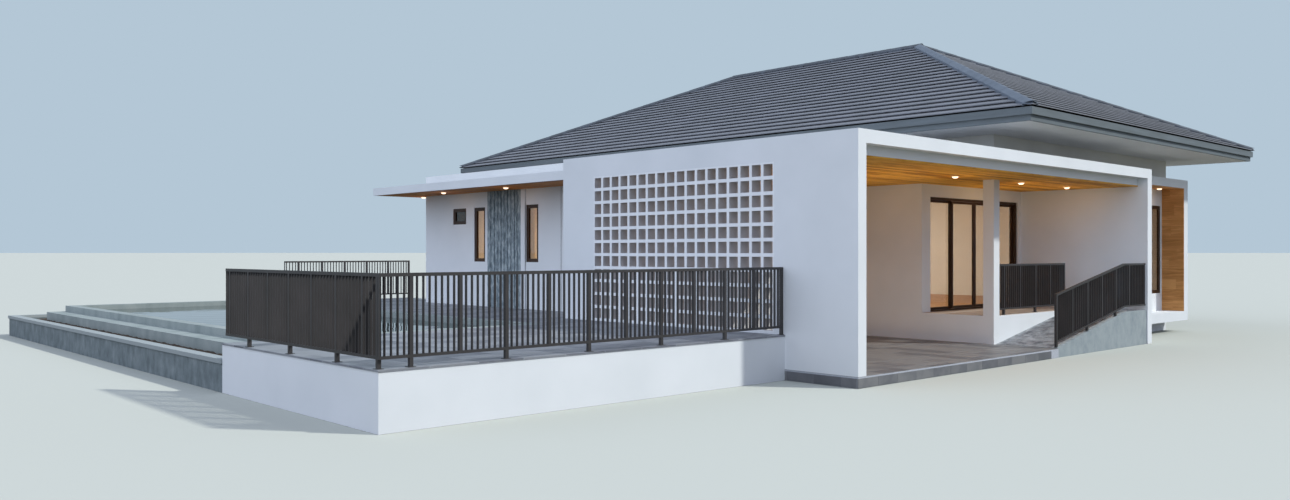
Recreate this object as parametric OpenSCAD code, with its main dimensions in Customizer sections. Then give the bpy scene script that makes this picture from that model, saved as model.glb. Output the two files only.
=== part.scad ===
// Single-storey house with a hipped tiled roof, a flat-roofed carport and porch behind one white frame,
// a low wing, a raised terrace, a planter and a basin. X runs along the street front, Y runs back from it
// and Z is up. The origin is the front left corner of the carport slab, at the ground.

/* [Levels] */
// Top of the carport slab above the ground
slab_h = 150; // [100:10:250]
// House floor above the ground
floor_h = 640; // [500:10:800]
// Drop from the house floor to the terrace paving
deck_drop = 20; // [0:5:60]
// Height of the sliding door and its frame
door_h = 2150; // [2000:10:2300]
// Height of the wall between the door's head and the wood ceiling
lintel_h = 230; // [150:10:400]
// Rise from the wood ceiling to the underside of the white frame's beam
beam_lift = 150; // [100:10:250]
// Height of the white frame's beam
beam_depth = 180; // [140:10:260]
// Height of the wall between the flat roofs and the eaves
upper_wall_h = 455; // [300:5:700]
// Rise from the top of the fascia to the ridge
roof_rise = 2500; // [2000:10:3000]

/* [House] */
// Thickness of the outer walls
wall_t = 220; // [180:10:300]
// Depth of the main body
body_d = 13420; // [12500:10:15000]
// Distance of the main body behind the white frame
body_setback = 1120; // [1000:10:1400]
// Length of the low wing along the front
wing_w = 4400; // [4000:10:4600]
// Depth of the low wing
wing_d = 6520; // [6000:10:7000]
// Height of the wing's parapet above its roof
parapet_h = 110; // [80:10:300]
// Thickness of the wing's parapet
parapet_t = 160; // [120:10:220]
// Thickness of the house floor
floor_t = 200; // [150:10:300]

/* [Carport and porch] */
// Clear width of the carport
carport_w = 5410; // [5000:10:5600]
// Clear depth of the carport
carport_d = 5680; // [5400:10:5900]
// Depth of the porch floor
porch_d = 1424; // [1300:2:1800]
// Width of the white frame, seen from the front
frame_t = 180; // [150:10:220]
// Thickness of the wall at the right end of the frame
end_wall_t = 200; // [150:10:240]
// Thickness of the wood ceiling
board_t = 20; // [15:1:30]
// Width of the corner column
column_w = 200; // [150:10:260]
// Distance of the ramp's foot from the house's corner
ramp_foot = 80; // [40:10:200]
// Length of the sloping part of the ramp
ramp_run = 2770; // [2400:10:2900]
// Width of the ramp's kerb
kerb_w = 80; // [60:5:120]
// Height of the kerb above the ramp
kerb_lip = 10; // [5:1:60]
// Distance of the kerb behind the front of the frame
kerb_setback = 20; // [10:5:90]

/* [Vent blocks] */
// Side of one square vent hole
vent_hole = 165; // [140:1:175]
// Wall of the block round a hole
vent_rim = 25; // [20:1:35]
// Blocks in a row
vent_cols = 18; // [12:1:19]
// Rows of blocks
vent_rows = 11; // [6:1:11]
// Distance of the first block from the front of the frame
vent_start = 1395; // [1300:5:1500]
// Height of the plain wall above the blocks
vent_band = 345; // [250:5:500]

/* [Door and windows] */
// Width of the sliding door
door_w = 3400; // [3200:10:3500]
// Width of the wall at the left of the sliding door
door_x = 300; // [240:10:400]
// Width of the wall at the right of the sliding door
door_end = 120; // [100:10:500]
// Width of the door's outer frame, seen from the front
door_face = 50; // [40:5:90]
// Depth of the door's outer frame
door_deep = 140; // [130:5:160]
// Distance of the frame behind the wall face
door_recess = 40; // [20:5:60]
// Thickness of a door leaf
leaf_t = 40; // [30:2:46]
// Width of a leaf's stile
stile_w = 45; // [30:5:90]
// Clearance round the sliding leaves
leaf_gap = 6; // [5:1:10]
// Clearance between the door's two tracks, and before the first
track_gap = 10; // [6:1:12]
// Height of the door's threshold
sill_t = 30; // [20:5:50]
// Thickness of the glass
glass_t = 8; // [6:1:12]
// Width of a window frame, seen from the front
sash_w = 70; // [40:5:80]
// Depth of a window frame
sash_d = 50; // [40:5:90]
// Distance of a window frame behind the wall face
reveal = 20; // [10:5:80]

/* [Terrace] */
// Length of the terrace along the front
terrace_w = 6120; // [5500:10:6500]
// Depth of the terrace
terrace_d = 4000; // [3800:10:4400]
// Distance of the terrace behind the front of the frame
terrace_y = 1190; // [1100:10:1300]
// Thickness of the paving
paving_t = 20; // [15:5:60]
// Overhang of the paving past its base
nosing = 15; // [10:1:30]
// Width of the side deck in front of the wing
side_deck_w = 2290; // [2000:10:2600]
// Depth of the deck behind the wing
rear_deck_d = 2400; // [2000:10:2800]
// Width of the deck behind the wing, from the wing's face
rear_deck_w = 920; // [800:10:1400]

/* [Canopy] */
// Overhang of the canopy past the wing wall
canopy_w = 1040; // [900:10:1100]
// Overhang of the canopy behind the wing
canopy_end = 510; // [400:10:600]
// Height of the canopy's edge
canopy_edge = 160; // [120:10:240]
// Width of the canopy's white rim
canopy_rim = 40; // [30:5:80]

/* [Roof] */
// Overhang of the eaves
overhang = 1365; // [1200:5:1500]
// Thickness of the eaves boarding
soffit_t = 30; // [20:5:50]
// Height of the lower fascia
fascia_low = 95; // [70:5:140]
// Height of the upper fascia
fascia_up = 120; // [90:5:200]
// Thickness of the fascia
fascia_t = 40; // [30:5:60]
// Overhang of the tiles past the fascia
tile_nose = 25; // [10:5:50]
// Thickness of a tile's lower edge
tile_step = 40; // [20:1:50]
// Tile courses from eaves to ridge
courses = 22; // [12:1:26]
// Thickness of the roof slopes, measured upright
slope_t = 160; // [120:10:240]
// Width of the ridge and hip caps
cap_w = 330; // [200:10:450]
// Thickness of the ridge and hip caps
cap_t = 45; // [30:5:80]

/* [Railings] */
// Height of the terrace railings above the paving
deck_rail_h = 930; // [850:10:1100]
// Height of the porch and ramp railings above their floor
porch_rail_h = 905; // [850:5:1100]
// Spacing of the slats on the terrace
slat_pitch = 71.4; // [60:0.1:100]
// Spacing of the slats on the porch and the ramp
porch_pitch = 74; // [60:0.1:100]
// Slat spacings from one post to the next
slat_count = 16; // [8:2:24]
// Width of a slat
slat_w = 10; // [8:1:16]
// Depth of a slat
slat_d = 32; // [24:1:36]
// Width of a railing post
post_w = 40; // [36:1:60]
// Width of a bar halfway between posts
bar_w = 38; // [20:1:44]
// Height of the top rail
top_rail_h = 35; // [25:1:50]
// Height of the bottom rail
low_rail_h = 30; // [20:1:45]
// Gap below the bottom rail
rail_gap = 95; // [70:5:120]
// Distance from the corner post to the next post of the side railing
corner_bay = 870; // [600:10:1100]
// Distance between the railing and the edge that it stands on
rail_inset = 60; // [45:5:100]

/* [Planter and basin] */
// Height of the planter wall above the ground
planter_h = 420; // [350:10:460]
// Thickness of the planter wall
planter_t = 150; // [120:10:200]
// Height of the coping on the planter wall
coping_h = 60; // [40:5:90]
// Overhang of the coping
coping_out = 20; // [10:5:40]
// Width of the planting strip
bed_w = 405; // [300:5:500]
// Drop from the planter wall's top to the soil
soil_drop = 70; // [30:10:120]
// Width of the ledge beside the basin
ledge_w = 350; // [250:10:450]
// Drop from the terrace paving to the ledge beside the basin
ledge_drop = 120; // [60:10:200]
// Depth of the basin along Y
basin_d = 11310; // [9000:10:12000]
// Thickness of the basin's walls
basin_t = 200; // [150:10:250]
// Thickness of the basin's floor
basin_floor = 200; // [100:10:300]
// Width of the planting strip behind the basin
far_bed_w = 500; // [300:10:700]

/* [Window surround] */
// Distance of the surround behind the front of the frame
surround_y = 660; // [560:10:760]
// Thickness of the surround's cheek
cheek_t = 220; // [160:10:260]
// Underside of the surround's base above the ground
base_low = 250; // [150:10:350]
// Thickness of the surround's base
base_slab = 200; // [150:10:260]
// Width of the window in the surround
bedroom_window_w = 2650; // [2000:10:2800]
// Sill of the window in the surround above the house floor
bedroom_sill = 200; // [100:10:900]
// Width of the wall at the left of that window
bedroom_pier = 870; // [500:10:1400]
// Width of the wall at the right of that window
bedroom_jamb = 50; // [50:5:400]

/* [Wing wall] */
// Width of the tall windows
slot_w = 410; // [300:10:500]
// Sill of the tall windows above the house floor
slot_sill = 917; // [700:1:1100]
// Drop from the door's head to the head of the wing's windows
slot_drop = 90; // [0:10:200]
// Distance of the first tall window from the wing's near end
slot_start = 2296; // [1800:2:2600]
// Gap between the first tall window and the raised strip
strip_gap = 5; // [1:1:80]
// Width of the raised strip beside the cladding
strip_w = 135; // [120:5:250]
// Width of the cladding
cladding_w = 1180; // [900:10:1400]
// Thickness of the cladding
cladding_t = 25; // [15:5:50]
// Gap between the cladding and the second tall window
slot_gap = 120; // [40:10:200]
// Gap between the second tall window and the square window
square_gap = 310; // [200:10:500]
// Width of the square window
square_w = 520; // [400:10:600]
// Sill of the square window above the house floor
square_sill = 1717; // [1500:1:1850]

/* [Side and rear windows] */
// Width of the windows in the right wall
side_window_w = 1400; // [900:10:1800]
// Width of the wide window in the rear wall
rear_window_w = 2600; // [1800:10:3000]
// Width of the wall between the rear windows
rear_pier = 780; // [400:10:1200]
// Width of the window in the wing's end wall
end_window_w = 780; // [600:10:1600]
// Sill of the side and rear windows above the house floor
plain_sill = 900; // [700:10:1200]

/* [Hidden] */

white = "#E4E8EC";
slate = "#4A4E57";
boards = "#9A6233";
dark_metal = "#35302E";
concrete = "#A3A9A6";
tile_grey = "#5A5F6B";
fascia_grey = "#6B757B";
pane = "#9FB4BC";

deck_h = floor_h - deck_drop;
head_h = floor_h + door_h;
ceiling_h = head_h + lintel_h;
roof_slab_z = ceiling_h + board_t;
beam_h = ceiling_h + beam_lift;
frame_top = beam_h + beam_depth;
eaves_h = frame_top + upper_wall_h;
fascia_top = eaves_h + fascia_low + fascia_up;
ridge_h = fascia_top + roof_rise;

x_body = frame_t + carport_w;
door_left = x_body + door_x;
door_right = door_left + door_w;
x_end = door_right + door_end;
x_bed = x_end + end_wall_t;
bedroom_left = x_bed + bedroom_pier;
bedroom_right = bedroom_left + bedroom_window_w;
cheek_x = bedroom_right + bedroom_jamb + board_t;
x_right = cheek_x + cheek_t;
x_wing = x_body - wing_w;
y_body = body_setback;
y_entry = y_body + porch_d;
y_inside = y_entry + wall_t;
y_back = frame_t + carport_d;
y_wing = y_back + wall_t;
y_wing_end = y_wing + wing_d;
y_rear = y_body + body_d;

// Overrun of a cut past the faces that it opens
cut = 1;

// The solid between two opposite corners
module block(from, to) {
    translate(from) cube(to - from);
}

// A flat plate of the given outline between two heights
module plate(outline, low, high) {
    translate([0, 0, low]) linear_extrude(high - low) polygon(outline);
}

// A shape drawn in X and Z, made solid from y = near to y = far
module upright(near, far) {
    translate([0, far, 0]) rotate([90, 0, 0]) linear_extrude(far - near) children();
}

carport_outline = [[0, 0], [x_body + ramp_foot, 0], [x_body + ramp_foot, y_body], [x_body, y_body],
    [x_body, y_wing], [0, y_wing]];

module carport_floor() color(slate) plate(carport_outline, 0, slab_h);

vent_pitch = vent_hole + 2 * vent_rim;
vent_len = vent_cols * vent_pitch;
vent_top = frame_top - vent_band;
vent_low = vent_top - vent_rows * vent_pitch;

module vent_wall() color(white) difference() {
    block([0, 0, slab_h], [frame_t, y_wing, frame_top]);
    block([-cut, vent_start, vent_low], [frame_t + cut, vent_start + vent_len, vent_top]);
}

module vent_blocks() color(white)
    translate([0, vent_start, vent_low]) rotate([90, 0, 90]) linear_extrude(frame_t) difference() {
        square([vent_len, vent_rows * vent_pitch]);
        for (col = [0 : vent_cols - 1], row = [0 : vent_rows - 1])
            translate([col * vent_pitch + vent_rim, row * vent_pitch + vent_rim]) square(vent_hole);
    }

module right_wing_wall() color(white) block([x_end, 0, 0], [x_bed, y_inside, frame_top]);

module frame_beam() color(white) block([frame_t, 0, beam_h], [x_end, frame_t, frame_top]);

roof_outline = [[frame_t, frame_t], [x_end, frame_t], [x_end, y_inside], [x_body + wall_t, y_inside],
    [x_body + wall_t, y_wing], [frame_t, y_wing]];

module carport_roof() color(white) plate(roof_outline, roof_slab_z, frame_top);

ceiling_outline = [[frame_t, frame_t], [x_end, frame_t], [x_end, y_entry], [x_body, y_entry],
    [x_body, y_back], [frame_t, y_back]];

module carport_ceiling() color(boards) plate(ceiling_outline, ceiling_h, roof_slab_z);

module corner_column() color(white)
    block([x_body, y_body, floor_h], [x_body + column_w, y_body + column_w, ceiling_h]);

platform_outline = [[x_body, y_body], [x_end, y_body], [x_end, y_entry], [door_right, y_entry],
    [door_right, y_inside], [door_left, y_inside], [door_left, y_entry], [x_body, y_entry]];

module entry_platform() color(white) plate(platform_outline, 0, floor_h);

ramp_x = x_body + ramp_foot;
ramp_top = ramp_x + ramp_run;

// The ramp's section, from its foot to the landing at the end wall
module ramp_section(lift) polygon([[ramp_x, 0], [x_end, 0], [x_end, floor_h + lift],
    [ramp_top, floor_h + lift], [ramp_x, slab_h + lift]]);

module entry_ramp() color(concrete) union() {
    upright(kerb_setback + kerb_w, y_body) ramp_section(0);
    upright(kerb_setback, kerb_setback + kerb_w) ramp_section(kerb_lip);
}

// Surface of the ramp and its landing at x
function ramp_z(x) = x < ramp_top ? slab_h + (x - ramp_x) * (floor_h - slab_h) / ramp_run : floor_h;

// A rail that follows the ramp, from x0 to x1, between two heights above the ramp
module ramp_rail(x0, x1, low, high, depth)
    upright(-depth / 2, depth / 2) polygon([[x0, ramp_z(x0) + low], [ramp_top, floor_h + low],
        [x1, floor_h + low], [x1, floor_h + high], [ramp_top, floor_h + high], [x0, ramp_z(x0) + high]]);

post_span = slat_count * slat_pitch;
porch_span = slat_count * porch_pitch;

// An upright of the ramp's railing centred at x
module ramp_bar(x, wide, deep, low, high)
    block([x - wide / 2, -deep / 2, ramp_z(x) + low], [x + wide / 2, deep / 2, ramp_z(x) + high]);

module ramp_railing() color(dark_metal)
    translate([0, kerb_setback + kerb_w / 2, 0]) union() {
        rail_x = ramp_x + post_w / 2;
        ramp_rail(ramp_x, x_end, porch_rail_h - top_rail_h, porch_rail_h, post_w);
        ramp_rail(ramp_x, x_end, rail_gap, rail_gap + low_rail_h, post_w);
        for (x = [rail_x : porch_span : ramp_top])
            ramp_bar(x, post_w, post_w, kerb_lip + post_w * (floor_h - slab_h) / ramp_run,
                porch_rail_h - top_rail_h / 2);
        for (x = [rail_x + porch_span / 2 : porch_span : x_end - post_w])
            ramp_bar(x, bar_w, post_w, rail_gap + low_rail_h / 2, porch_rail_h - top_rail_h / 2);
        for (x = [rail_x + porch_pitch : porch_pitch : x_end - slat_w])
            ramp_bar(x, slat_w, slat_d, rail_gap + low_rail_h / 2, porch_rail_h - top_rail_h / 2);
    }

// A level railing along X from the origin. A post stands at its far end, the next one an end bay
// nearer, and the rest slat_count spacings apart.
module railing(len, high, pitch, end_bay) union() {
    span = slat_count * pitch;
    last = len - post_w / 2;
    next = last - end_bay;
    first_slat = next - floor((next - slat_w) / pitch) * pitch;
    block([0, -post_w / 2, high - top_rail_h], [len, post_w / 2, high]);
    block([0, -post_w / 2, rail_gap], [len, post_w / 2, rail_gap + low_rail_h]);
    for (x = [last, each [next : -span : post_w]])
        block([x - post_w / 2, -post_w / 2, 0], [x + post_w / 2, post_w / 2, high]);
    for (x = [next + span / 2 : -span : bar_w])
        block([x - bar_w / 2, -post_w / 2, rail_gap], [x + bar_w / 2, post_w / 2, high]);
    for (x = [first_slat : pitch : last - pitch / 2])
        block([x - slat_w / 2, -slat_d / 2, rail_gap], [x + slat_w / 2, slat_d / 2, high - top_rail_h / 2]);
    block([0, -slat_d / 2, rail_gap], [slat_w, slat_d / 2, high]);
}

porch_rail_x = x_body + column_w;

module porch_railing() color(dark_metal)
    translate([porch_rail_x, y_body + rail_inset, floor_h])
        railing(ramp_top - porch_rail_x, porch_rail_h, porch_pitch, porch_span);

floor_outline = [[x_body + wall_t, y_inside], [x_bed, y_inside], [x_bed, y_body + wall_t],
    [x_right - wall_t, y_body + wall_t], [x_right - wall_t, y_rear - wall_t],
    [x_body + wall_t, y_rear - wall_t], [x_body + wall_t, y_wing_end - wall_t],
    [x_wing + wall_t, y_wing_end - wall_t], [x_wing + wall_t, y_wing], [x_body + wall_t, y_wing]];

module house_floor() color(boards) plate(floor_outline, floor_h - floor_t, floor_h);

module entry_wall_left() color(white) block([x_body, y_entry, 0], [door_left, y_inside, roof_slab_z]);

module entry_wall_right() color(white) block([door_right, y_entry, 0], [x_end, y_inside, roof_slab_z]);

module entry_wall_head() color(white)
    block([door_left, y_entry, head_h], [door_right, y_inside, roof_slab_z]);

module carport_side_wall() color(white)
    block([x_body, y_inside, 0], [x_body + wall_t, y_wing, roof_slab_z]);

module carport_back_wall() color(white)
    block([frame_t, y_back, slab_h], [x_body, y_wing, roof_slab_z]);

bedroom_low = floor_h + bedroom_sill;
plain_low = floor_h + plain_sill;

module bedroom_front_wall() color(white) difference() {
    block([x_bed, y_body, 0], [x_right, y_body + wall_t, eaves_h]);
    block([bedroom_left, y_body - cut, bedroom_low], [bedroom_right, y_body + wall_t + cut, head_h]);
}

side_bay = (body_d - wall_t) / 3;

// Near ends of the windows in the right wall
side_starts = [for (i = [0 : 2]) y_body + wall_t / 2 + (i + 0.5) * side_bay - side_window_w / 2];

module right_wall() color(white) difference() {
    block([x_right - wall_t, y_body + wall_t, 0], [x_right, y_rear, eaves_h]);
    for (y = side_starts)
        block([x_right - wall_t - cut, y, plain_low], [x_right + cut, y + side_window_w, head_h]);
}

rear_centre = (x_body + x_right) / 2;
rear_left = rear_centre - rear_window_w / 2;
rear_slots = [rear_left - rear_pier - slot_w, rear_left + rear_window_w + rear_pier];

module rear_wall() color(white) difference() {
    block([x_body + wall_t, y_rear - wall_t, 0], [x_right - wall_t, y_rear, eaves_h]);
    block([rear_left, y_rear - wall_t - cut, bedroom_low],
        [rear_left + rear_window_w, y_rear + cut, head_h]);
    for (x = rear_slots)
        block([x, y_rear - wall_t - cut, plain_low], [x + slot_w, y_rear + cut, head_h]);
}

module left_rear_wall() color(white)
    block([x_body, y_wing_end - wall_t, 0], [x_body + wall_t, y_rear, eaves_h]);

slot_low = floor_h + slot_sill;
slot_head = head_h - slot_drop;
cladding_y = slot_start + slot_w + strip_gap + strip_w;
slot_b = cladding_y + cladding_w + slot_gap;

// Near end, width, sill and head of each window in the wing's side wall
wing_windows = [[slot_start, slot_w, slot_low, slot_head], [slot_b, slot_w, slot_low, slot_head],
    [slot_b + slot_w + square_gap, square_w, floor_h + square_sill, slot_head]];

module wing_side_wall() color(white) union() {
    difference() {
        block([x_wing, y_wing, 0], [x_wing + wall_t, y_wing_end, roof_slab_z]);
        for (w = wing_windows)
            block([x_wing - cut, y_wing + w[0], w[2]], [x_wing + wall_t + cut, y_wing + w[0] + w[1], w[3]]);
    }
    block([x_wing - cladding_t, y_wing + cladding_y - strip_w, deck_h],
        [x_wing, y_wing + cladding_y, ceiling_h]);
}

end_window_x = (x_wing + x_body - end_window_w) / 2;

module wing_end_wall() color(white) difference() {
    block([x_wing + wall_t, y_wing_end - wall_t, 0], [x_body, y_wing_end, roof_slab_z]);
    block([end_window_x, y_wing_end - wall_t - cut, slot_low],
        [end_window_x + end_window_w, y_wing_end + cut, slot_head]);
}

module upper_wall_front() color(white)
    block([x_body, y_body, frame_top], [x_bed, y_body + wall_t, eaves_h]);

module upper_wall_left() color(white)
    block([x_body, y_body + wall_t, frame_top], [x_body + wall_t, y_wing_end - wall_t, eaves_h]);

wing_roof_outline = [[x_wing, y_wing], [x_body + wall_t, y_wing],
    [x_body + wall_t, y_wing_end - wall_t], [x_body, y_wing_end - wall_t], [x_body, y_wing_end],
    [x_wing, y_wing_end]];

module wing_roof() color(white) union() {
    plate(wing_roof_outline, roof_slab_z, frame_top);
    difference() {
        block([x_wing, y_wing, frame_top], [x_body, y_wing_end, frame_top + parapet_h]);
        block([x_wing + parapet_t, y_wing + parapet_t, frame_top - cut],
            [x_body + cut, y_wing_end - parapet_t, frame_top + parapet_h + cut]);
    }
}

// The canopy's outline, drawn in from its free edges by the given width
function canopy_outline(inset) = [[x_wing - canopy_w + inset, y_wing + inset], [x_wing, y_wing + inset],
    [x_wing, y_wing_end], [x_body - inset, y_wing_end],
    [x_body - inset, y_wing_end + canopy_end - inset],
    [x_wing - canopy_w + inset, y_wing_end + canopy_end - inset]];

module canopy_slab() color(white) difference() {
    plate(canopy_outline(0), ceiling_h, ceiling_h + canopy_edge);
    plate(canopy_outline(canopy_rim), ceiling_h - cut, roof_slab_z);
}

module canopy_soffit() color(boards) plate(canopy_outline(canopy_rim), ceiling_h, roof_slab_z);

module stone_cladding() color("#5F6F7C")
    block([x_wing - cladding_t, y_wing + cladding_y, deck_h],
        [x_wing, y_wing + cladding_y + cladding_w, ceiling_h]);

// A window frame in a wall along X, with its outer face at y = 0. Bars divide it into equal lights.
module frame_ring(wide, high, lights) difference() {
    cube([wide, sash_d, high]);
    light = (wide - (lights + 1) * sash_w) / lights;
    for (i = [0 : lights - 1])
        translate([sash_w + i * (light + sash_w), -cut, sash_w])
            cube([light, sash_d + 2 * cut, high - 2 * sash_w]);
}

// The glass of such a frame
module frame_glass(wide, high, lights) {
    light = (wide - (lights + 1) * sash_w) / lights;
    for (i = [0 : lights - 1])
        translate([sash_w + i * (light + sash_w), (sash_d - glass_t) / 2, sash_w])
            cube([light, glass_t, high - 2 * sash_w]);
}

// Puts a child at every window of the house, as frames or as glass
module at_windows(glazed) {
    front = y_body + reveal;
    translate([bedroom_left, front, bedroom_low])
        window_piece(bedroom_window_w, head_h - bedroom_low, 3, glazed);
    for (y = side_starts)
        translate([x_right - reveal, y, plain_low]) rotate(90)
            window_piece(side_window_w, head_h - plain_low, 2, glazed);
    translate([rear_left + rear_window_w, y_rear - reveal, bedroom_low]) rotate(180)
        window_piece(rear_window_w, head_h - bedroom_low, 3, glazed);
    for (x = rear_slots)
        translate([x + slot_w, y_rear - reveal, plain_low]) rotate(180)
            window_piece(slot_w, head_h - plain_low, 1, glazed);
    for (w = wing_windows)
        translate([x_wing + reveal, y_wing + w[0] + w[1], w[2]]) rotate(-90)
            window_piece(w[1], w[3] - w[2], 1, glazed);
    translate([end_window_x + end_window_w, y_wing_end - reveal, slot_low]) rotate(180)
        window_piece(end_window_w, slot_head - slot_low, 2, glazed);
}

module window_piece(wide, high, lights, glazed) {
    if (glazed) frame_glass(wide, high, lights);
    else frame_ring(wide, high, lights);
}

clear_left = door_left + door_face;
clear_right = door_right - door_face;
clear_low = floor_h + sill_t;
clear_high = head_h - door_face;
slide_y = y_entry + door_recess + track_gap;
fixed_y = slide_y + leaf_t + track_gap;
meet_x = (clear_left + clear_right) / 2;
leaf_w = (clear_right - clear_left) / 4 + stile_w / 2;

// One leaf of the door: stiles and rails round an opening, at the origin
module leaf(wide, high) difference() {
    cube([wide, leaf_t, high]);
    translate([stile_w, -cut, stile_w])
        cube([wide - 2 * stile_w, leaf_t + 2 * cut, high - 2 * stile_w]);
}

// The glass of such a leaf
module leaf_pane(wide, high)
    translate([stile_w, (leaf_t - glass_t) / 2, stile_w])
        cube([wide - 2 * stile_w, glass_t, high - 2 * stile_w]);

fixed_high = clear_high - clear_low;
slide_high = fixed_high - 2 * leaf_gap;

module door_frame() color(dark_metal) union() {
    difference() {
        block([door_left, y_entry + door_recess, floor_h],
            [door_right, y_entry + door_recess + door_deep, head_h]);
        block([clear_left, y_entry, clear_low], [clear_right, y_inside, clear_high]);
    }
    for (x = [clear_left, clear_right - leaf_w])
        translate([x, fixed_y, clear_low]) leaf(leaf_w, fixed_high);
}

left_leaf_x = meet_x - leaf_gap / 2 - leaf_w;
right_leaf_x = meet_x + leaf_gap / 2;

module left_leaf() color(dark_metal)
    translate([left_leaf_x, slide_y, clear_low + leaf_gap]) leaf(leaf_w, slide_high);

module left_leaf_glass() color(pane)
    translate([left_leaf_x, slide_y, clear_low + leaf_gap]) leaf_pane(leaf_w, slide_high);

module right_leaf() color(dark_metal)
    translate([right_leaf_x, slide_y, clear_low + leaf_gap]) leaf(leaf_w, slide_high);

module right_leaf_glass() color(pane)
    translate([right_leaf_x, slide_y, clear_low + leaf_gap]) leaf_pane(leaf_w, slide_high);

module window_frames() color(dark_metal) at_windows(false);

module window_panes() color(pane) {
    at_windows(true);
    for (x = [clear_left, clear_right - leaf_w])
        translate([x, fixed_y, clear_low]) leaf_pane(leaf_w, fixed_high);
}

base_top = base_low + base_slab;

module window_surround() color(white) difference() {
    block([x_bed, surround_y, base_low], [x_right, y_body, frame_top]);
    block([x_bed - cut, surround_y - cut, base_top], [cheek_x, y_body + cut, beam_h]);
}

module surround_boards() color(boards) union() {
    block([cheek_x - board_t, surround_y, base_top], [cheek_x, y_body, beam_h]);
    block([x_bed, surround_y, beam_h - board_t], [cheek_x, y_body, beam_h]);
}

x_deck = x_wing - side_deck_w;
y_basin = terrace_y + terrace_d;
y_deck_end = y_wing_end + rear_deck_d;
x_rear_deck = x_wing + rear_deck_w;

// The terrace's outline, with its free left and front edges drawn in by the given width
function terrace_outline(inset) = [[-terrace_w + inset, terrace_y + inset], [0, terrace_y + inset],
    [0, y_wing], [x_wing, y_wing], [x_wing, y_wing_end], [x_rear_deck, y_wing_end],
    [x_rear_deck, y_deck_end], [x_deck, y_deck_end], [x_deck, y_basin], [-terrace_w + inset, y_basin]];

module terrace_base() color(white) plate(terrace_outline(nosing), 0, deck_h - paving_t);

module terrace_paving() color(slate) plate(terrace_outline(0), deck_h - paving_t, deck_h);

rail_left = -terrace_w + rail_inset;
rail_front = terrace_y + rail_inset;

module front_railing() color(dark_metal)
    translate([rail_left - post_w / 2, rail_front, deck_h])
        railing(-rail_left + post_w / 2, deck_rail_h, slat_pitch, post_span);

module side_railing() color(dark_metal)
    translate([rail_left, y_basin - post_w, deck_h]) rotate(-90)
        railing(y_basin - post_w - rail_front - post_w / 2, deck_rail_h, slat_pitch, corner_bay);

module rear_railing() color(dark_metal)
    translate([x_deck, y_deck_end - rail_inset, deck_h])
        railing(x_rear_deck - x_deck, deck_rail_h, slat_pitch, post_span);

planter_x = -terrace_w + nosing;
bed_x = planter_x + planter_t;
ledge_x = bed_x + bed_w;
basin_x = ledge_x + ledge_w;
y_basin_end = y_basin + basin_d;
y_bed_end = y_basin_end + far_bed_w;
y_planter_end = y_bed_end + planter_t;

module planter_wall() color(concrete) union() {
    difference() {
        block([planter_x, y_basin, 0], [x_deck, y_planter_end, planter_h - coping_h]);
        block([bed_x, y_basin - cut, -cut], [x_deck - planter_t, y_bed_end, planter_h]);
        block([basin_x, y_basin - cut, -cut], [x_deck + cut, y_basin_end, planter_h]);
    }
    difference() {
        block([planter_x - coping_out, y_basin, planter_h - coping_h],
            [x_deck + coping_out, y_planter_end + coping_out, planter_h]);
        block([bed_x, y_basin - cut, 0], [x_deck - planter_t, y_bed_end, planter_h + cut]);
        block([basin_x, y_basin - cut, 0], [x_deck + coping_out + cut, y_basin_end, planter_h + cut]);
    }
}

bed_outline = [[bed_x, y_basin], [ledge_x, y_basin], [ledge_x, y_basin_end],
    [x_deck - planter_t, y_basin_end], [x_deck - planter_t, y_bed_end], [bed_x, y_bed_end]];

module planter_bed() color("#4A3A2C") plate(bed_outline, 0, planter_h - soil_drop);

module basin() color(concrete) union() {
    block([ledge_x, y_basin, 0], [basin_x, y_basin_end, deck_h - ledge_drop]);
    difference() {
        block([basin_x, y_basin, 0], [x_deck, y_basin_end, deck_h]);
        block([basin_x + basin_t, y_basin + basin_t, basin_floor],
            [x_deck - basin_t, y_basin_end - basin_t, deck_h + cut]);
    }
}

eave_x = x_body - overhang;
eave_y = y_body - overhang;
eave_right = x_right + overhang;
eave_far = y_rear + overhang;

// A level ring round the eaves, from one distance inside the outer fascia to another
module eaves_ring(outer, inner, low, high) difference() {
    block([eave_x + outer, eave_y + outer, low], [eave_right - outer, eave_far - outer, high]);
    block([eave_x + inner, eave_y + inner, low - cut],
        [eave_right - inner, eave_far - inner, high + cut]);
}

module eaves_fascia() color(fascia_grey) union() {
    eaves_ring(fascia_t, 2 * fascia_t, eaves_h, eaves_h + fascia_low);
    eaves_ring(0, 2 * fascia_t, eaves_h + fascia_low, fascia_top);
}

module eaves_soffit() color("#B9C0C6")
    block([eave_x + 2 * fascia_t, eave_y + 2 * fascia_t, eaves_h],
        [eave_right - 2 * fascia_t, eave_far - 2 * fascia_t, eaves_h + soffit_t]);

tile_x = eave_x - tile_nose;
tile_y = eave_y - tile_nose;
tile_right = eave_right + tile_nose;
tile_far = eave_far + tile_nose;
half_run = (tile_right - tile_x) / 2;
ridge_x = tile_x + half_run;
tile_low = fascia_top + tile_step;
fall = (ridge_h - cap_t - tile_low) / half_run;
course_run = half_run / courses;
lip = tile_nose + 2 * fascia_t;

// Height of the tiles' lower edges at a distance in from the eaves
function tile_top(run) = tile_low + run * fall;

// Section of one slope: a step up at every tile course, and a notch that sits on the fascia
slope_section = concat(
    [for (i = [0 : courses - 1]) each [[i * course_run, tile_top(i * course_run)],
        [(i + 1) * course_run, tile_top((i + 1) * course_run) - tile_step]]],
    [[half_run, tile_top(half_run) - slope_t], [lip, tile_top(lip) - slope_t], [lip, fascia_top],
        [0, fascia_top]]);

ridge_ends = [tile_y + half_run, tile_far - half_run];

// The stepped section carried along an eaves of the given length
module slope_bar(len) rotate([90, 0, 0]) linear_extrude(len) polygon(slope_section);

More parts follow.
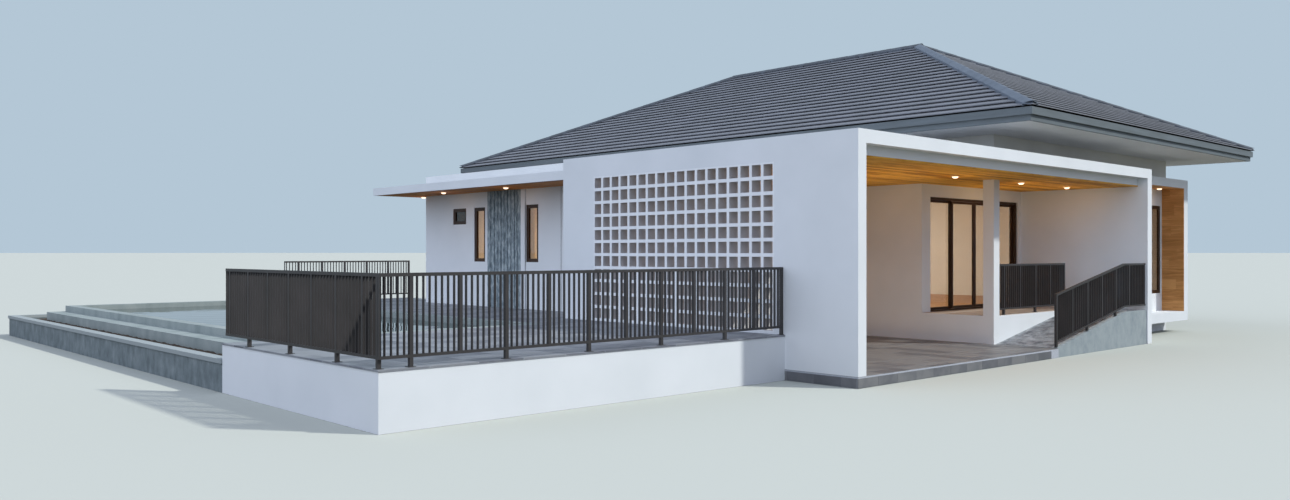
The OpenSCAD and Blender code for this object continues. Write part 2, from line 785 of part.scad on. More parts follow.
module roof_slope_left() color(tile_grey) intersection() {
    translate([tile_x, tile_far, 0]) slope_bar(tile_far - tile_y);
    plate([[tile_x, tile_y], [ridge_x, ridge_ends[0]], [ridge_x, ridge_ends[1]], [tile_x, tile_far]],
        eaves_h, ridge_h);
}

module roof_slope_right() color(tile_grey) intersection() {
    translate([tile_right, tile_y, 0]) rotate(180) slope_bar(tile_far - tile_y);
    plate([[tile_right, tile_y], [ridge_x, ridge_ends[0]], [ridge_x, ridge_ends[1]],
        [tile_right, tile_far]], eaves_h, ridge_h);
}

module roof_slope_front() color(tile_grey) intersection() {
    translate([tile_x, tile_y, 0]) rotate(90) slope_bar(tile_right - tile_x);
    plate([[tile_x, tile_y], [tile_right, tile_y], [ridge_x, ridge_ends[0]]], eaves_h, ridge_h);
}

module roof_slope_rear() color(tile_grey) intersection() {
    translate([tile_right, tile_far, 0]) rotate(-90) slope_bar(tile_right - tile_x);
    plate([[tile_x, tile_far], [tile_right, tile_far], [ridge_x, ridge_ends[1]]], eaves_h, ridge_h);
}

// The whole hipped roof as one solid, raised by the given height
module hipped(lift) intersection() {
    translate([0, tile_far, 0]) rotate([90, 0, 0]) linear_extrude(tile_far - tile_y)
        polygon([[tile_x, tile_low - tile_step], [tile_right, tile_low - tile_step],
            [tile_right, tile_low + lift], [ridge_x, ridge_h - cap_t + lift],
            [tile_x, tile_low + lift]]);
    translate([tile_x, 0, 0]) rotate([90, 0, 90]) linear_extrude(tile_right - tile_x)
        polygon([[tile_y, tile_low - tile_step], [tile_far, tile_low - tile_step],
            [tile_far, tile_low + lift], [ridge_ends[1], ridge_h - cap_t + lift],
            [ridge_ends[0], ridge_h - cap_t + lift], [tile_y, tile_low + lift]]);
}

// The plan of the caps: a strip along the ridge and one along each hip
module cap_plan() {
    translate([ridge_x - cap_w / 2, ridge_ends[0]])
        square([cap_w, ridge_ends[1] - ridge_ends[0]]);
    for (corner = [[tile_x, tile_y, 0, 0], [tile_right, tile_y, 90, 0], [tile_right, tile_far, 180, 1],
        [tile_x, tile_far, 270, 1]])
        translate([ridge_x, ridge_ends[corner[3]]]) rotate(corner[2] + 45 + 180)
            translate([-cap_w / 2, -cap_w / 2]) square([half_run * sqrt(2) + cap_w, cap_w]);
}

module ridge_and_hip_caps() color("#8790A0") intersection() {
    difference() {
        hipped(cap_t);
        hipped(0);
    }
    translate([0, 0, eaves_h]) linear_extrude(ridge_h) cap_plan();
}

carport_floor();
vent_wall();
vent_blocks();
right_wing_wall();
frame_beam();
carport_roof();
carport_ceiling();
corner_column();
entry_platform();
entry_ramp();
ramp_railing();
porch_railing();
house_floor();
entry_wall_left();
entry_wall_right();
entry_wall_head();
carport_side_wall();
carport_back_wall();
bedroom_front_wall();
right_wall();
rear_wall();
left_rear_wall();
wing_side_wall();
wing_end_wall();
upper_wall_front();
upper_wall_left();
wing_roof();
canopy_slab();
canopy_soffit();
stone_cladding();
window_frames();
window_panes();
door_frame();
left_leaf();
left_leaf_glass();
right_leaf();
right_leaf_glass();
window_surround();
surround_boards();
terrace_base();
terrace_paving();
front_railing();
side_railing();
rear_railing();
planter_wall();
planter_bed();
basin();
eaves_soffit();
eaves_fascia();
roof_slope_left();
roof_slope_right();
roof_slope_front();
roof_slope_rear();
ridge_and_hip_caps();
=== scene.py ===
import bpy
import numpy as np
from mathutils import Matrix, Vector


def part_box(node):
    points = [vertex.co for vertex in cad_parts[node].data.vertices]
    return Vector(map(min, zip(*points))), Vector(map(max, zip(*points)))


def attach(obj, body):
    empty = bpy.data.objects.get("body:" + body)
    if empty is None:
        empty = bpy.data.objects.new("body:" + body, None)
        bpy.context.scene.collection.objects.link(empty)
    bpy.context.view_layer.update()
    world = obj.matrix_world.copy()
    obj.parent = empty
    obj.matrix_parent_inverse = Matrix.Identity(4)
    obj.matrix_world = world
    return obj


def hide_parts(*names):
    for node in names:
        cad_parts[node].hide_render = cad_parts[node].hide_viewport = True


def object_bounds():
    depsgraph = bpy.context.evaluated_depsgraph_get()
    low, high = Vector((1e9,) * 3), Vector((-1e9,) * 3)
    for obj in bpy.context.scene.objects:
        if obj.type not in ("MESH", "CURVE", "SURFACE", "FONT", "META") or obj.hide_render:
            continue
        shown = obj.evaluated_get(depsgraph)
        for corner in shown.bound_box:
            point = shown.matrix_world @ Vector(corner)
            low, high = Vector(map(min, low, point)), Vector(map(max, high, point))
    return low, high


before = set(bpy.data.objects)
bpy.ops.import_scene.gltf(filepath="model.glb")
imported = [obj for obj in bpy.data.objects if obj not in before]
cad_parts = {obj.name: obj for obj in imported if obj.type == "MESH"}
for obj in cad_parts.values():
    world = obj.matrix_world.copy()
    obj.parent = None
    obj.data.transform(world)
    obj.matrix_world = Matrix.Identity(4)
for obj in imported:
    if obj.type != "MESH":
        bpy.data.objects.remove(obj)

# Standing place and light: a level camera at eye height off the garden's corner, a low sun from the
# front right that thin cloud has softened, an even sky, and one plain pale floor.
scene = bpy.context.scene
cad_box = [list(corner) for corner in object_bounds()]


def linear(colour):
    """Turns an sRGB hex colour into linear values: a share of up to 0.04045 is divided by 12.92, and a
    larger one has 0.055 added, is divided by 1.055 and raised to the power 2.4."""
    share = np.array([int(colour[i : i + 2], 16) for i in (1, 3, 5)]) / 255
    share = np.where(share <= 0.04045, share / 12.92, ((share + 0.055) / 1.055) ** 2.4)
    return (*share.tolist(), 1.0)


def add(tree, kind, sockets=None, stops=None, **settings):
    """Adds one node: its settings, the stops of its colour band, and for each socket a plain value, or
    the node or the output that feeds it."""
    node = tree.nodes.new(kind)
    for name, value in settings.items():
        setattr(node, name, value)
    for name, value in (sockets or {}).items():
        if isinstance(value, bpy.types.Node):
            value = value.outputs[0]
        if isinstance(value, bpy.types.NodeSocket):
            tree.links.new(value, node.inputs[name])
        else:
            node.inputs[name].default_value = linear(value) if isinstance(value, str) else value
    for i, (position, colour) in enumerate(stops or []):
        if i > 1:
            node.color_ramp.elements.new(position)
        node.color_ramp.elements[i].position = position
        node.color_ramp.elements[i].color = linear(colour)
    return node


camera = bpy.data.objects.new("camera", bpy.data.cameras.new("camera"))
camera.location = (-10.8546, -7.6548, 1.75)
camera.rotation_euler = np.radians([90, 0, -42.93])
camera.data.sensor_width = 36
camera.data.lens = 28.29
camera.data.shift_y = 0.0019
camera.data.clip_end = 8000
scene.collection.objects.link(camera)
scene.camera = camera


def light_from(name, direction, energy, spread, colour):
    """Adds a sun lamp that shines from a direction, as wide as an angle in degrees."""
    lamp = bpy.data.objects.new(name, bpy.data.lights.new(name, "SUN"))
    lamp.data.energy = energy
    lamp.data.angle = np.radians(spread)
    lamp.data.color = colour
    lamp.rotation_euler = Vector(direction).to_track_quat("Z", "Y").to_euler()
    scene.collection.objects.link(lamp)


light_from("sun", (0.4446, -0.6116, 0.6544), 2.65, 3, (0.98, 1.0, 0.96))
light_from("bright_cloud", (-0.93, 0.08, 0.34), 1.45, 100, (0.78, 0.86, 1.0))
scene.view_settings.view_transform = "Standard"

scene.world = bpy.data.worlds.new("thin_cloud")
scene.world.use_nodes = True
sky = scene.world.node_tree
sky.nodes.clear()
ray = add(sky, "ShaderNodeLightPath")
mirrored = add(
    sky,
    "ShaderNodeMath",
    {0: ray.outputs["Is Glossy Ray"], 1: ray.outputs["Is Transmission Ray"]},
    operation="MAXIMUM",
)
seen = add(sky, "ShaderNodeMath", {0: ray.outputs["Is Camera Ray"], 1: mirrored}, operation="MAXIMUM")
lighting = add(sky, "ShaderNodeBackground", {"Color": (0.70, 0.81, 1.06, 1.0), "Strength": 0.66})
backdrop = add(sky, "ShaderNodeBackground", {"Color": "#B4C7D6", "Strength": 1.0})
shown = add(sky, "ShaderNodeMixShader", {0: seen, 1: lighting, 2: backdrop})
add(sky, "ShaderNodeOutputWorld", {"Surface": shown})

# Plain floor: matt, pale and even, without pattern, so that only the house has detail. It gives back
# the warmer, weaker light of open ground.
def start(name):
    """Starts a material, and gives it with its nodes and the piece's own coordinates in metres."""
    made = bpy.data.materials.new(name)
    made.use_nodes = True
    made.node_tree.nodes.clear()
    return made, made.node_tree, add(made.node_tree, "ShaderNodeTexCoord").outputs["Object"]


plain_floor, nodes, _ = start("plain_floor")
garden_light = add(nodes, "ShaderNodeBsdfDiffuse", {"Color": (0.17, 0.165, 0.13, 1.0)})
pale = add(nodes, "ShaderNodeBsdfDiffuse", {"Color": "#C2C4BB"})
ray = add(nodes, "ShaderNodeLightPath")
shown = add(nodes, "ShaderNodeMixShader", {0: ray.outputs["Is Camera Ray"], 1: garden_light, 2: pale})
add(nodes, "ShaderNodeOutputMaterial", {"Surface": shown})

ground = bpy.data.meshes.new("floor")
reach = 4000.0
corners = [(-reach, -reach, 0), (reach, -reach, 0), (reach, reach, 0), (-reach, reach, 0)]
ground.from_pydata(corners, [], [(0, 1, 2, 3)])
ground.materials.append(plain_floor)
floor = bpy.data.objects.new("floor", ground)
scene.collection.objects.link(floor)
floor.location.z = -0.002

# Masonry: blockwork walls, slabs and beams with a fine sprayed render, rolled with matt white paint.
# The paint is a little greyer in clouds of a metre. The real grain of 1 mm is too fine to show, so it
# starts at 17 mm here, and takes the edge off the light.
def close(tree, height, depth, sockets):
    """Ends a material: a height pattern lifts the surface by up to the given depth in metres, and the
    shader's sockets take the rest."""
    lift = add(tree, "ShaderNodeBump", {"Height": height, "Distance": depth, "Strength": 1.0})
    shader = add(tree, "ShaderNodeBsdfPrincipled", {"Normal": lift, **sockets})
    add(tree, "ShaderNodeOutputMaterial", {"Surface": shader})


def rendered(name):
    """Starts painted render: clouds of noise pick a shade of white, and a fine noise is its grain."""
    made, nodes, place = start(name)
    cloud = add(nodes, "ShaderNodeTexNoise", {"Vector": place, "Scale": 0.9, "Detail": 3.0})
    grain = add(nodes, "ShaderNodeTexNoise", {"Vector": place, "Scale": 60.0, "Detail": 4.0})
    white = add(nodes, "ShaderNodeValToRGB", {0: cloud}, stops=[(0.3, "#E2E5E7"), (0.7, "#EBEDEF")])
    return made, nodes, place, cloud, grain, white


painted_render, nodes, _, _, grain, white = rendered("painted_render")
grain_depth, chalky = 0.0008, 0.85
close(nodes, grain, grain_depth, {"Base Color": white, "Roughness": chalky})


def dress(finish, *names):
    """Gives named CAD nodes one finish, in every slot of their materials."""
    for name in names:
        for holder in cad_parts[name].material_slots:
            holder.material = finish


dress(
    painted_render,
    "vent_wall",
    "right_wing_wall",
    "frame_beam",
    "corner_column",
    "entry_platform",
    "entry_wall_left",
    "entry_wall_right",
    "entry_wall_head",
    "carport_side_wall",
    "carport_back_wall",
    "wing_side_wall",
    "wing_end_wall",
    "window_surround",
    "terrace_base",
)

# Main walls: the same render, white up to the level of the flat roofs, and a warm mid grey in the band
# from there to the eaves: a painted shade, standing for the shade that the deep eaves throw on the band.
eaves_shaded_render, nodes, place, cloud, grain, white = rendered("render_with_painted_eaves_shade")
flat_roof_top = 3.35
# The warm grey is painted shade under the eaves.
painted_eaves_shade = add(nodes, "ShaderNodeValToRGB", {0: cloud}, stops=[(0.3, "#D6D4CE"), (0.7, "#E0DED8")])
height = add(nodes, "ShaderNodeSeparateXYZ", {0: place}).outputs["Z"]
under_eaves_shade = add(nodes, "ShaderNodeMath", {0: height, 1: flat_roof_top}, operation="GREATER_THAN")
both = add(nodes, "ShaderNodeMix", {0: under_eaves_shade, 6: white, 7: painted_eaves_shade}, data_type="RGBA")
close(nodes, grain, grain_depth, {"Base Color": both.outputs[2], "Roughness": chalky})
dress(eaves_shaded_render, "upper_wall_front", "upper_wall_left", "bedroom_front_wall")
dress(eaves_shaded_render, "right_wall", "rear_wall", "left_rear_wall")

# Flat roofs: slabs with the same white render on their edges and a grey waterproof coating, rolled on
# in two coats, on everything that faces up.
coated_slab, nodes, _, cloud, grain, white = rendered("coated_roof_slab")
facing = add(nodes, "ShaderNodeNewGeometry").outputs["True Normal"]
facing_up = add(nodes, "ShaderNodeSeparateXYZ", {0: facing}).outputs["Z"]
is_top = add(nodes, "ShaderNodeMath", {0: facing_up, 1: 0.5}, operation="GREATER_THAN")
coating = add(nodes, "ShaderNodeValToRGB", {0: cloud}, stops=[(0.3, "#B6B8B7"), (0.7, "#C2C4C2")])
both = add(nodes, "ShaderNodeMix", {0: is_top, 6: white, 7: coating}, data_type="RGBA")
close(nodes, grain, grain_depth, {"Base Color": both.outputs[2], "Roughness": chalky})
dress(coated_slab, "carport_roof", "wing_roof", "canopy_slab")

# Vent blocks: pressed concrete screen blocks laid in stack bond. Their faces are painted with the wall,
# and the inside of each hole is drawn a darker grey: a painted shade, standing for the shade deep in
# the holes. The grain of 2 mm is drawn as coarse as the render's so that it shows.
block_paint_and_hole_shade, nodes, place = start("screen_block_paint_and_painted_hole_shade")
facing = add(nodes, "ShaderNodeNewGeometry").outputs["True Normal"]
facing_aside = add(nodes, "ShaderNodeSeparateXYZ", {0: facing}).outputs["X"]
across = add(nodes, "ShaderNodeMath", {0: facing_aside}, operation="ABSOLUTE")
is_face = add(nodes, "ShaderNodeMath", {0: across, 1: 0.5}, operation="GREATER_THAN")
cloud = add(nodes, "ShaderNodeTexNoise", {"Vector": place, "Scale": 6.0, "Detail": 3.0})
face_paint = add(nodes, "ShaderNodeValToRGB", {0: cloud}, stops=[(0.3, "#EEF0F1"), (0.7, "#F4F5F6")])
# The darker grey of the hole insides is painted shade.
painted_hole_shade = add(nodes, "ShaderNodeValToRGB", {0: cloud}, stops=[(0.3, "#BDBBBC"), (0.7, "#CDCBCB")])
both = add(nodes, "ShaderNodeMix", {0: is_face, 6: painted_hole_shade, 7: face_paint}, data_type="RGBA")
grain = add(nodes, "ShaderNodeTexNoise", {"Vector": place, "Scale": 60.0, "Detail": 4.0})
close(nodes, grain, 0.001, {"Base Color": both.outputs[2], "Roughness": 0.9})
dress(block_paint_and_hole_shade, "vent_blocks")

# Carport paving: honed porcelain tiles in slate grey, bedded in pale mortar in bands from the frame's
# front to the back, with the same tiles on edge along the slab's sides. Each tile has its own tone,
# veins wander about 30 cm apart, and the honing leaves a soft sheen.
carport_right, _, slab_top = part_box("carport_floor")[1]


def piece(name, points, faces, body, finish, tone=None):
    """Makes one piece from an array of points and arrays of faces. tone is one number for each of the
    equal parts that the points fall into, and is kept on the points for the finish to read."""
    mesh = bpy.data.meshes.new(name)
    mesh.from_pydata(points.reshape(-1, 3).tolist(), [], [row for part in faces for row in part.tolist()])
    mesh.materials.append(finish)
    if tone is not None:
        shade = mesh.attributes.new("tone", "FLOAT", "POINT")
        tones = np.repeat(tone, len(mesh.vertices) // len(tone))
        shade.data.foreach_set("value", tones.astype(np.float32))
    made = bpy.data.objects.new(name, mesh)
    scene.collection.objects.link(made)
    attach(made, body)
    return made


def blocks(low, high, edge):
    """Many bevelled blocks at once, 24 points each: a corner of a block gives one point for each of the
    three faces that meet there, drawn in by the edge along the two directions of that face. Six quads
    are the faces, twelve the bevelled edges and eight triangles the corners."""
    low, high = np.atleast_2d(low), np.atleast_2d(high)
    signs = np.array(np.meshgrid([-1, 1], [-1, 1], [-1, 1], indexing="ij")).reshape(3, 8).T
    inset = 1 - np.eye(3)
    reach = signs[:, None, :] * ((high - low)[:, None, None, :] / 2 - edge * inset)
    points = reach + ((low + high) / 2)[:, None, None, :]
    corner = np.arange(24).reshape(2, 2, 2, 3)
    quads = []
    for a in range(3):
        b, c = (a + 1) % 3, (a + 2) % 3
        grid = np.moveaxis(corner, (a, b, c), (0, 1, 2))
        for i in (0, 1):
            ring = [grid[i, 0, 0, a], grid[i, 1, 0, a], grid[i, 1, 1, a], grid[i, 0, 1, a]]
            quads.append(ring if i else ring[::-1])
            for j in (0, 1):
                ring = [grid[i, j, 0, a], grid[i, j, 1, a], grid[i, j, 1, b], grid[i, j, 0, b]]
                quads.append(ring[::-1] if i == j else ring)
    triangles = corner.reshape(8, 3)
    triangles = np.where((signs.prod(1) > 0)[:, None], triangles, triangles[:, ::-1])
    shift = (24 * np.arange(len(low)))[:, None, None]
    return points, [(np.array(quads) + shift).reshape(-1, 4), (triangles + shift).reshape(-1, 3)]


def laid(low, high, length, width, stagger, joint):
    """Tiles in rows over a rectangle: row j starts j widths up, every second row starts a share of a
    length later, and a tile is cut at the rectangle and drawn in by half a joint. A cut of 3 cm or less
    is left out."""
    low, high = np.array(low), np.array(high)
    columns, rows = np.ceil((high - low) / [length, width])
    row, column = np.meshgrid(np.arange(rows), np.arange(-1, columns + 1))
    begin = low + np.stack([(column + stagger * (row % 2)) * length, row * width], -1).reshape(-1, 2)
    end = np.minimum(begin + [length, width], high)
    begin = np.maximum(begin, low)
    kept = ((end - begin) > 0.03).all(1)
    return begin[kept] + joint / 2, end[kept] - joint / 2


def spread(x, y, z):
    """Corners of many blocks: three coordinates, each one number for all or an array, side by side."""
    return np.column_stack(np.broadcast_arrays(x, y, z))


def honed(name, dark, middle, light):
    """Honed porcelain: the tone of each tile and wandering veins of noise pick a shade between dark and
    light."""
    made, nodes, place = start(name)
    tone = add(nodes, "ShaderNodeAttribute", attribute_name="tone").outputs["Fac"]
    veins = add(
        nodes, "ShaderNodeTexNoise", {"Vector": place, "Scale": 3.5, "Detail": 6.0, "Distortion": 0.6}
    )
    mixed = add(nodes, "ShaderNodeMath", {0: tone, 1: 0.65, 2: veins}, operation="MULTIPLY_ADD")
    shade = add(nodes, "ShaderNodeValToRGB", {0: mixed}, stops=[(0.35, dark), (0.7, middle), (1.0, light)])
    fine = add(nodes, "ShaderNodeTexNoise", {"Vector": place, "Scale": 45.0, "Detail": 4.0})
    close(nodes, fine, 0.0006, {"Base Color": shade, "Roughness": 0.45})
    return made


carport_tile = honed("honed_mid_grey_porcelain", "#5C5E62", "#6C6D71", "#808081")

# The mortar has dried pale. Its sand of 1 mm is drawn at 11 mm.
tile_mortar, nodes, place = start("pale_tile_mortar")
sand = add(nodes, "ShaderNodeTexNoise", {"Vector": place, "Scale": 90.0, "Detail": 3.0})
grey = add(nodes, "ShaderNodeValToRGB", {0: sand}, stops=[(0.3, "#A4A8B0"), (0.7, "#C0C3CA")])
close(nodes, sand, 0.001, {"Base Color": grey, "Roughness": 0.9})

random = np.random.default_rng(4)
platform_x, lane_y, joint = 5.59, 1.12, 0.010
bands = np.cumsum([0.0, 0.27, 0.6, 1.2, 0.3, 1.2, 0.6, 1.2, 0.3, 0.41])
strips = []
for near, far in zip(bands[:-1], bands[1:]):
    right_end = carport_right if near < 1.0 else platform_x
    tile_length = 0.3 if far - near > 0.5 else 0.6
    strips.append(laid((0.0, near), (right_end, far), tile_length, far - near, 0.0, joint))
plan_low, plan_high = (np.concatenate(part) for part in zip(*strips))
halves = random.random(len(plan_low)) < 0.35
middle = (plan_low[:, 1] + plan_high[:, 1]) / 2
second_low, second_high = plan_low[halves].copy(), plan_high[halves].copy()
second_low[:, 1] = middle[halves] + joint / 2
plan_high[halves, 1] = middle[halves] - joint / 2
plan_low, plan_high = np.concatenate([plan_low, second_low]), np.concatenate([plan_high, second_high])

tile_thick, edge_length, seam = 0.02, 0.45, 0.003
side_y = np.arange(bands[1], bands[-1], edge_length)
side_low = spread(0.0, side_y - edge_length + seam, 0.002)
side_high = spread(tile_thick, side_y, slab_top - tile_thick - seam)
side_low[0, 1] = tile_thick + seam
front_x = np.arange(edge_length, carport_right, edge_length)
front_low = spread(front_x - edge_length + seam, 0.0, 0.002)
front_high = spread(front_x, tile_thick, slab_top - tile_thick - seam)
all_low = np.vstack([spread(*plan_low.T, slab_top - tile_thick), side_low, front_low])
all_high = np.vstack([spread(*plan_high.T, slab_top), side_high, front_high])
points, faces = blocks(all_low, all_high, 0.0015)
tones = random.random(len(all_low))
carport_tiles = piece("carport_tiles", points, faces, "house", carport_tile, tones)
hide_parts("carport_floor")

bed_in = 0.004
points, faces = blocks(
    [[bed_in, bed_in, 0.0], [bed_in, lane_y, 0.0]],
    [[carport_right - bed_in, lane_y, slab_top - bed_in], [platform_x, bands[-1], slab_top - bed_in]],
    0.001,
)
piece("carport_bed", points, faces, "house", tile_mortar)

# Ramp: one pour of board-marked concrete with a kerb for the railing. Rain has washed its side into
# clouds of 20 to 30 cm, and its pores of some millimetres are drawn at 26 mm so that they show.
washed_concrete, nodes, place = start("rain_washed_concrete")
stretch = add(nodes, "ShaderNodeMapping", {"Vector": place, "Scale": (2.0, 2.0, 1.5)})
rough_noise = {"Scale": 2.2, "Detail": 8.0, "Roughness": 0.65}
clouds = add(nodes, "ShaderNodeTexNoise", {"Vector": stretch, **rough_noise})
shades = [(0.3, "#879297"), (0.5, "#98A1A4"), (0.75, "#A6AEAF")]
washed = add(nodes, "ShaderNodeValToRGB", {0: clouds}, stops=shades)
pores = add(nodes, "ShaderNodeTexNoise", {"Vector": place, "Scale": 38.0, "Detail": 5.0})
close(nodes, pores, 0.002, {"Base Color": washed, "Roughness": 0.8})
dress(washed_concrete, "entry_ramp")

# The slope is brushed across and cut into treads. Feet have worn it in patches of 17 cm that break up
# to the width of a bristle.
brushed_concrete, nodes, place = start("brushed_concrete")
rough_noise = {"Scale": 6.0, "Detail": 8.0, "Roughness": 0.7}
wear = add(nodes, "ShaderNodeTexNoise", {"Vector": place, **rough_noise})
shades = [(0.36, "#6A6E72"), (0.51, "#9DA2A7"), (0.66, "#BFC4C8")]
worn = add(nodes, "ShaderNodeValToRGB", {0: wear}, stops=shades)
close(nodes, wear, 0.003, {"Base Color": worn, "Roughness": 0.8})

ramp_low, ramp_high = 0.15, 0.64
ramp_foot, ramp_top, ramp_end = 5.67, 8.44, 9.41
tread_near, tread_far, tread_length, groove = 0.105, 1.115, 0.19, 0.008
tread_start, tread_end = (ramp_foot + 0.01, tread_near), (ramp_end, tread_far)
tread_width = tread_far - tread_near
tread_low, tread_high = laid(tread_start, tread_end, tread_length, tread_width, 0.0, groove)
proud = 0.004
points, faces = blocks(spread(*tread_low.T, -proud), spread(*tread_high.T, proud), 0.002)
along = np.minimum(points[..., 0], ramp_top)
points[..., 2] += ramp_low + (along - ramp_foot) * (ramp_high - ramp_low) / (ramp_top - ramp_foot)
tones = random.random(len(tread_low))
piece("ramp_treads", points, faces, "house", brushed_concrete, tones)

# Porch floor: large matt stone-look porcelain in a warm light grey, with clouds of 25 cm like those of
# limestone, laid on the platform with thin joints.
porch_tile, nodes, place = start("matt_limestone_porcelain")
cloud = add(nodes, "ShaderNodeTexNoise", {"Vector": place, "Scale": 4.0, "Detail": 5.0})
stone = add(nodes, "ShaderNodeValToRGB", {0: cloud}, stops=[(0.3, "#B3A598"), (0.7, "#C9BCAF")])
close(nodes, cloud, 0.0005, {"Base Color": stone, "Roughness": 0.6})

porch_low, porch_high = (5.60, 1.13, 0.632), (9.405, 2.54, 0.643)
tile_size, joint = 0.6, 0.004
plan_low, plan_high = laid(porch_low[:2], porch_high[:2], tile_size, tile_size, 0.0, joint)
all_low, all_high = spread(*plan_low.T, porch_low[2]), spread(*plan_high.T, porch_high[2])
points, faces = blocks(all_low, all_high, 0.001)
piece("porch_tiles", points, faces, "house", porch_tile)

# Terrace paving: slate-grey porcelain like the carport's, laid along the front with a thin nosing over
# the white plinth, on a mortar bed that shows in the joints.
terrace_tile = honed("honed_slate_grey_porcelain", "#575A62", "#70727A", "#8C8E93")
(front_x, front_y, terrace_low), (rear_x, rear_y, terrace_top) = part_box("terrace_paving")
basin_low, basin_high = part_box("basin")
wing_low, wing_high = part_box("wing_roof")
terrace_parts = [
    [(front_x, front_y), (0.0, basin_low[1])],
    [(basin_high[0], basin_low[1]), (0.0, wing_low[1])],
    [(basin_high[0], wing_low[1]), (wing_low[0], wing_high[1])],
    [(basin_high[0], wing_high[1]), (rear_x, rear_y)],
]
tile_length, tile_width, joint = 0.5745, 0.30, 0.006
laid_parts = [laid(low, high, tile_length, tile_width, 0.0, joint) for low, high in terrace_parts]
plan_low, plan_high = (np.concatenate(part) for part in zip(*laid_parts))
all_low, all_high = spread(*plan_low.T, terrace_low + 0.002), spread(*plan_high.T, terrace_top)
points, faces = blocks(all_low, all_high, 0.0015)
tones = random.random(len(all_low))
terrace_tiles = piece("terrace_tiles", points, faces, "house", terrace_tile, tones)
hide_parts("terrace_paving")
bed_low = [[low[0] + 0.004, low[1] + 0.004, terrace_low] for low, high in terrace_parts]
bed_high = [[high[0] - 0.002, high[1] + 0.002, terrace_top - 0.003] for low, high in terrace_parts]
points, faces = blocks(bed_low, bed_high, 0.001)
piece("terrace_bed", points, faces, "house", tile_mortar)

# Ceilings: tongued hardwood boards with a satin varnish, nailed to battens under the flat roofs. Each
# board has its own shade. The grain runs along it, with a figure of 5 cm across and fibres that are
# drawn at 9 mm so that they show.
def varnished(name, axis, dark, middle, light):
    """Varnished boards whose grain runs along one axis: noise stretched twelve times along the board,
    shifted for each board by its tone, picks a shade between dark and light."""
    made, nodes, place = start(name)
    tone = add(nodes, "ShaderNodeAttribute", attribute_name="tone").outputs["Fac"]
    shift = add(nodes, "ShaderNodeVectorMath", {0: tone, 1: (17.0, 23.0, 31.0)}, operation="MULTIPLY")
    moved = add(nodes, "ShaderNodeVectorMath", {0: place, 1: shift}, operation="ADD")
    scale = [1.0 if i == axis else 12.0 for i in range(3)]
    stretch = add(nodes, "ShaderNodeMapping", {"Vector": moved, "Scale": scale})
    wavy_noise = {"Scale": 1.6, "Detail": 5.0, "Distortion": 0.8}
    figure = add(nodes, "ShaderNodeTexNoise", {"Vector": stretch, **wavy_noise})
    fibre = add(nodes, "ShaderNodeTexNoise", {"Vector": stretch, "Scale": 9.0, "Detail": 4.0})
    mixed = add(nodes, "ShaderNodeMath", {0: fibre, 1: 0.35, 2: figure}, operation="MULTIPLY_ADD")
    shaded = add(nodes, "ShaderNodeMath", {0: tone, 1: 0.4, 2: mixed}, operation="MULTIPLY_ADD")
    wood = add(nodes, "ShaderNodeValToRGB", {0: shaded}, stops=[(0.5, dark), (0.8, middle), (1.0, light)])
    close(nodes, fibre, 0.0008, {"Base Color": wood, "Roughness": 0.5, "Specular IOR Level": 0.1})
    return made


ceiling_wood = varnished("varnished_teak_along_x", 0, "#8C5812", "#CC8E28", "#F0B448")
ceiling_low, ceiling_high, groove_edge = 3.02, 3.04, 0.0025
wall_face, porch_right, porch_back, carport_back = 0.18, 9.41, 2.544, 5.86
board_long, front_wide, back_wide, flush = 3.1, 0.1182, 0.11845, 0.0
front_part = laid(
    (wall_face, wall_face), (porch_right, porch_back), board_long, front_wide, 0.37, flush
)
back_part = laid(
    (wall_face, porch_back), (platform_x, carport_back), board_long, back_wide, 0.61, flush
)
plan_low, plan_high = (np.concatenate(part) for part in zip(front_part, back_part))
all_low, all_high = spread(*plan_low.T, ceiling_low), spread(*plan_high.T, ceiling_high)
points, faces = blocks(all_low, all_high, groove_edge)
tones = random.random(len(all_low))
ceiling_boards = piece("ceiling_boards", points, faces, "house", ceiling_wood, tones)
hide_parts("carport_ceiling")

canopy_wood = varnished("varnished_teak_along_y", 1, "#8A5426", "#A8682F", "#BE7C3C")
canopy_front, wing_back, canopy_back = 6.12, 12.60, 13.07
canopy_left, wing_wall, canopy_right = 0.19, 1.19, 5.55
board_long, side_wide, back_wide = 2.4, 0.125, 0.1211
along_wing = laid(
    (canopy_front, canopy_left), (canopy_back, wing_wall), board_long, side_wide, 0.45, flush
)
behind_wing = laid(
    (wing_back, wing_wall), (canopy_back, canopy_right), board_long, back_wide, 0.45, flush
)
plan_low, plan_high = (np.concatenate(part)[:, ::-1] for part in zip(along_wing, behind_wing))
all_low, all_high = spread(*plan_low.T, ceiling_low), spread(*plan_high.T, ceiling_high)
points, faces = blocks(all_low, all_high, groove_edge)
tones = random.random(len(all_low))
canopy_boards = piece("canopy_boards", points, faces, "house", canopy_wood, tones)
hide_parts("canopy_soffit")

# Window surround: wide oiled teak boards on the inside of the white cheek, laid level, some in two
# lengths that meet at a butt joint, and narrower boards under its head.
cheek_wood = varnished("oiled_teak_along_y", 1, "#A37040", "#BD844E", "#D0985E")
surround_left, cheek_in, cheek_out = 9.61, 13.18, 13.20
surround_front, window_face = 0.66, 1.12
rows = np.array([0.45, 0.68, 0.93, 1.15, 1.39, 1.64, 1.86, 2.10, 2.34, 2.58, 2.81, 3.0, 3.15])
cut_at = np.array([0.89, 1.12, 0.82, 1.12, 0.97, 0.80, 1.12, 0.93, 1.12, 0.86, 1.12, 0.95])
has_rest = cut_at < window_face
board_low = spread(cheek_in, surround_front, rows[:-1])
board_high = spread(cheek_out, cut_at, rows[1:])
rest_low = spread(cheek_in, cut_at, rows[:-1])[has_rest]
rest_high = spread(cheek_out, window_face, rows[1:])[has_rest]
head_start, head_end = (surround_left, surround_front), (cheek_out, window_face)
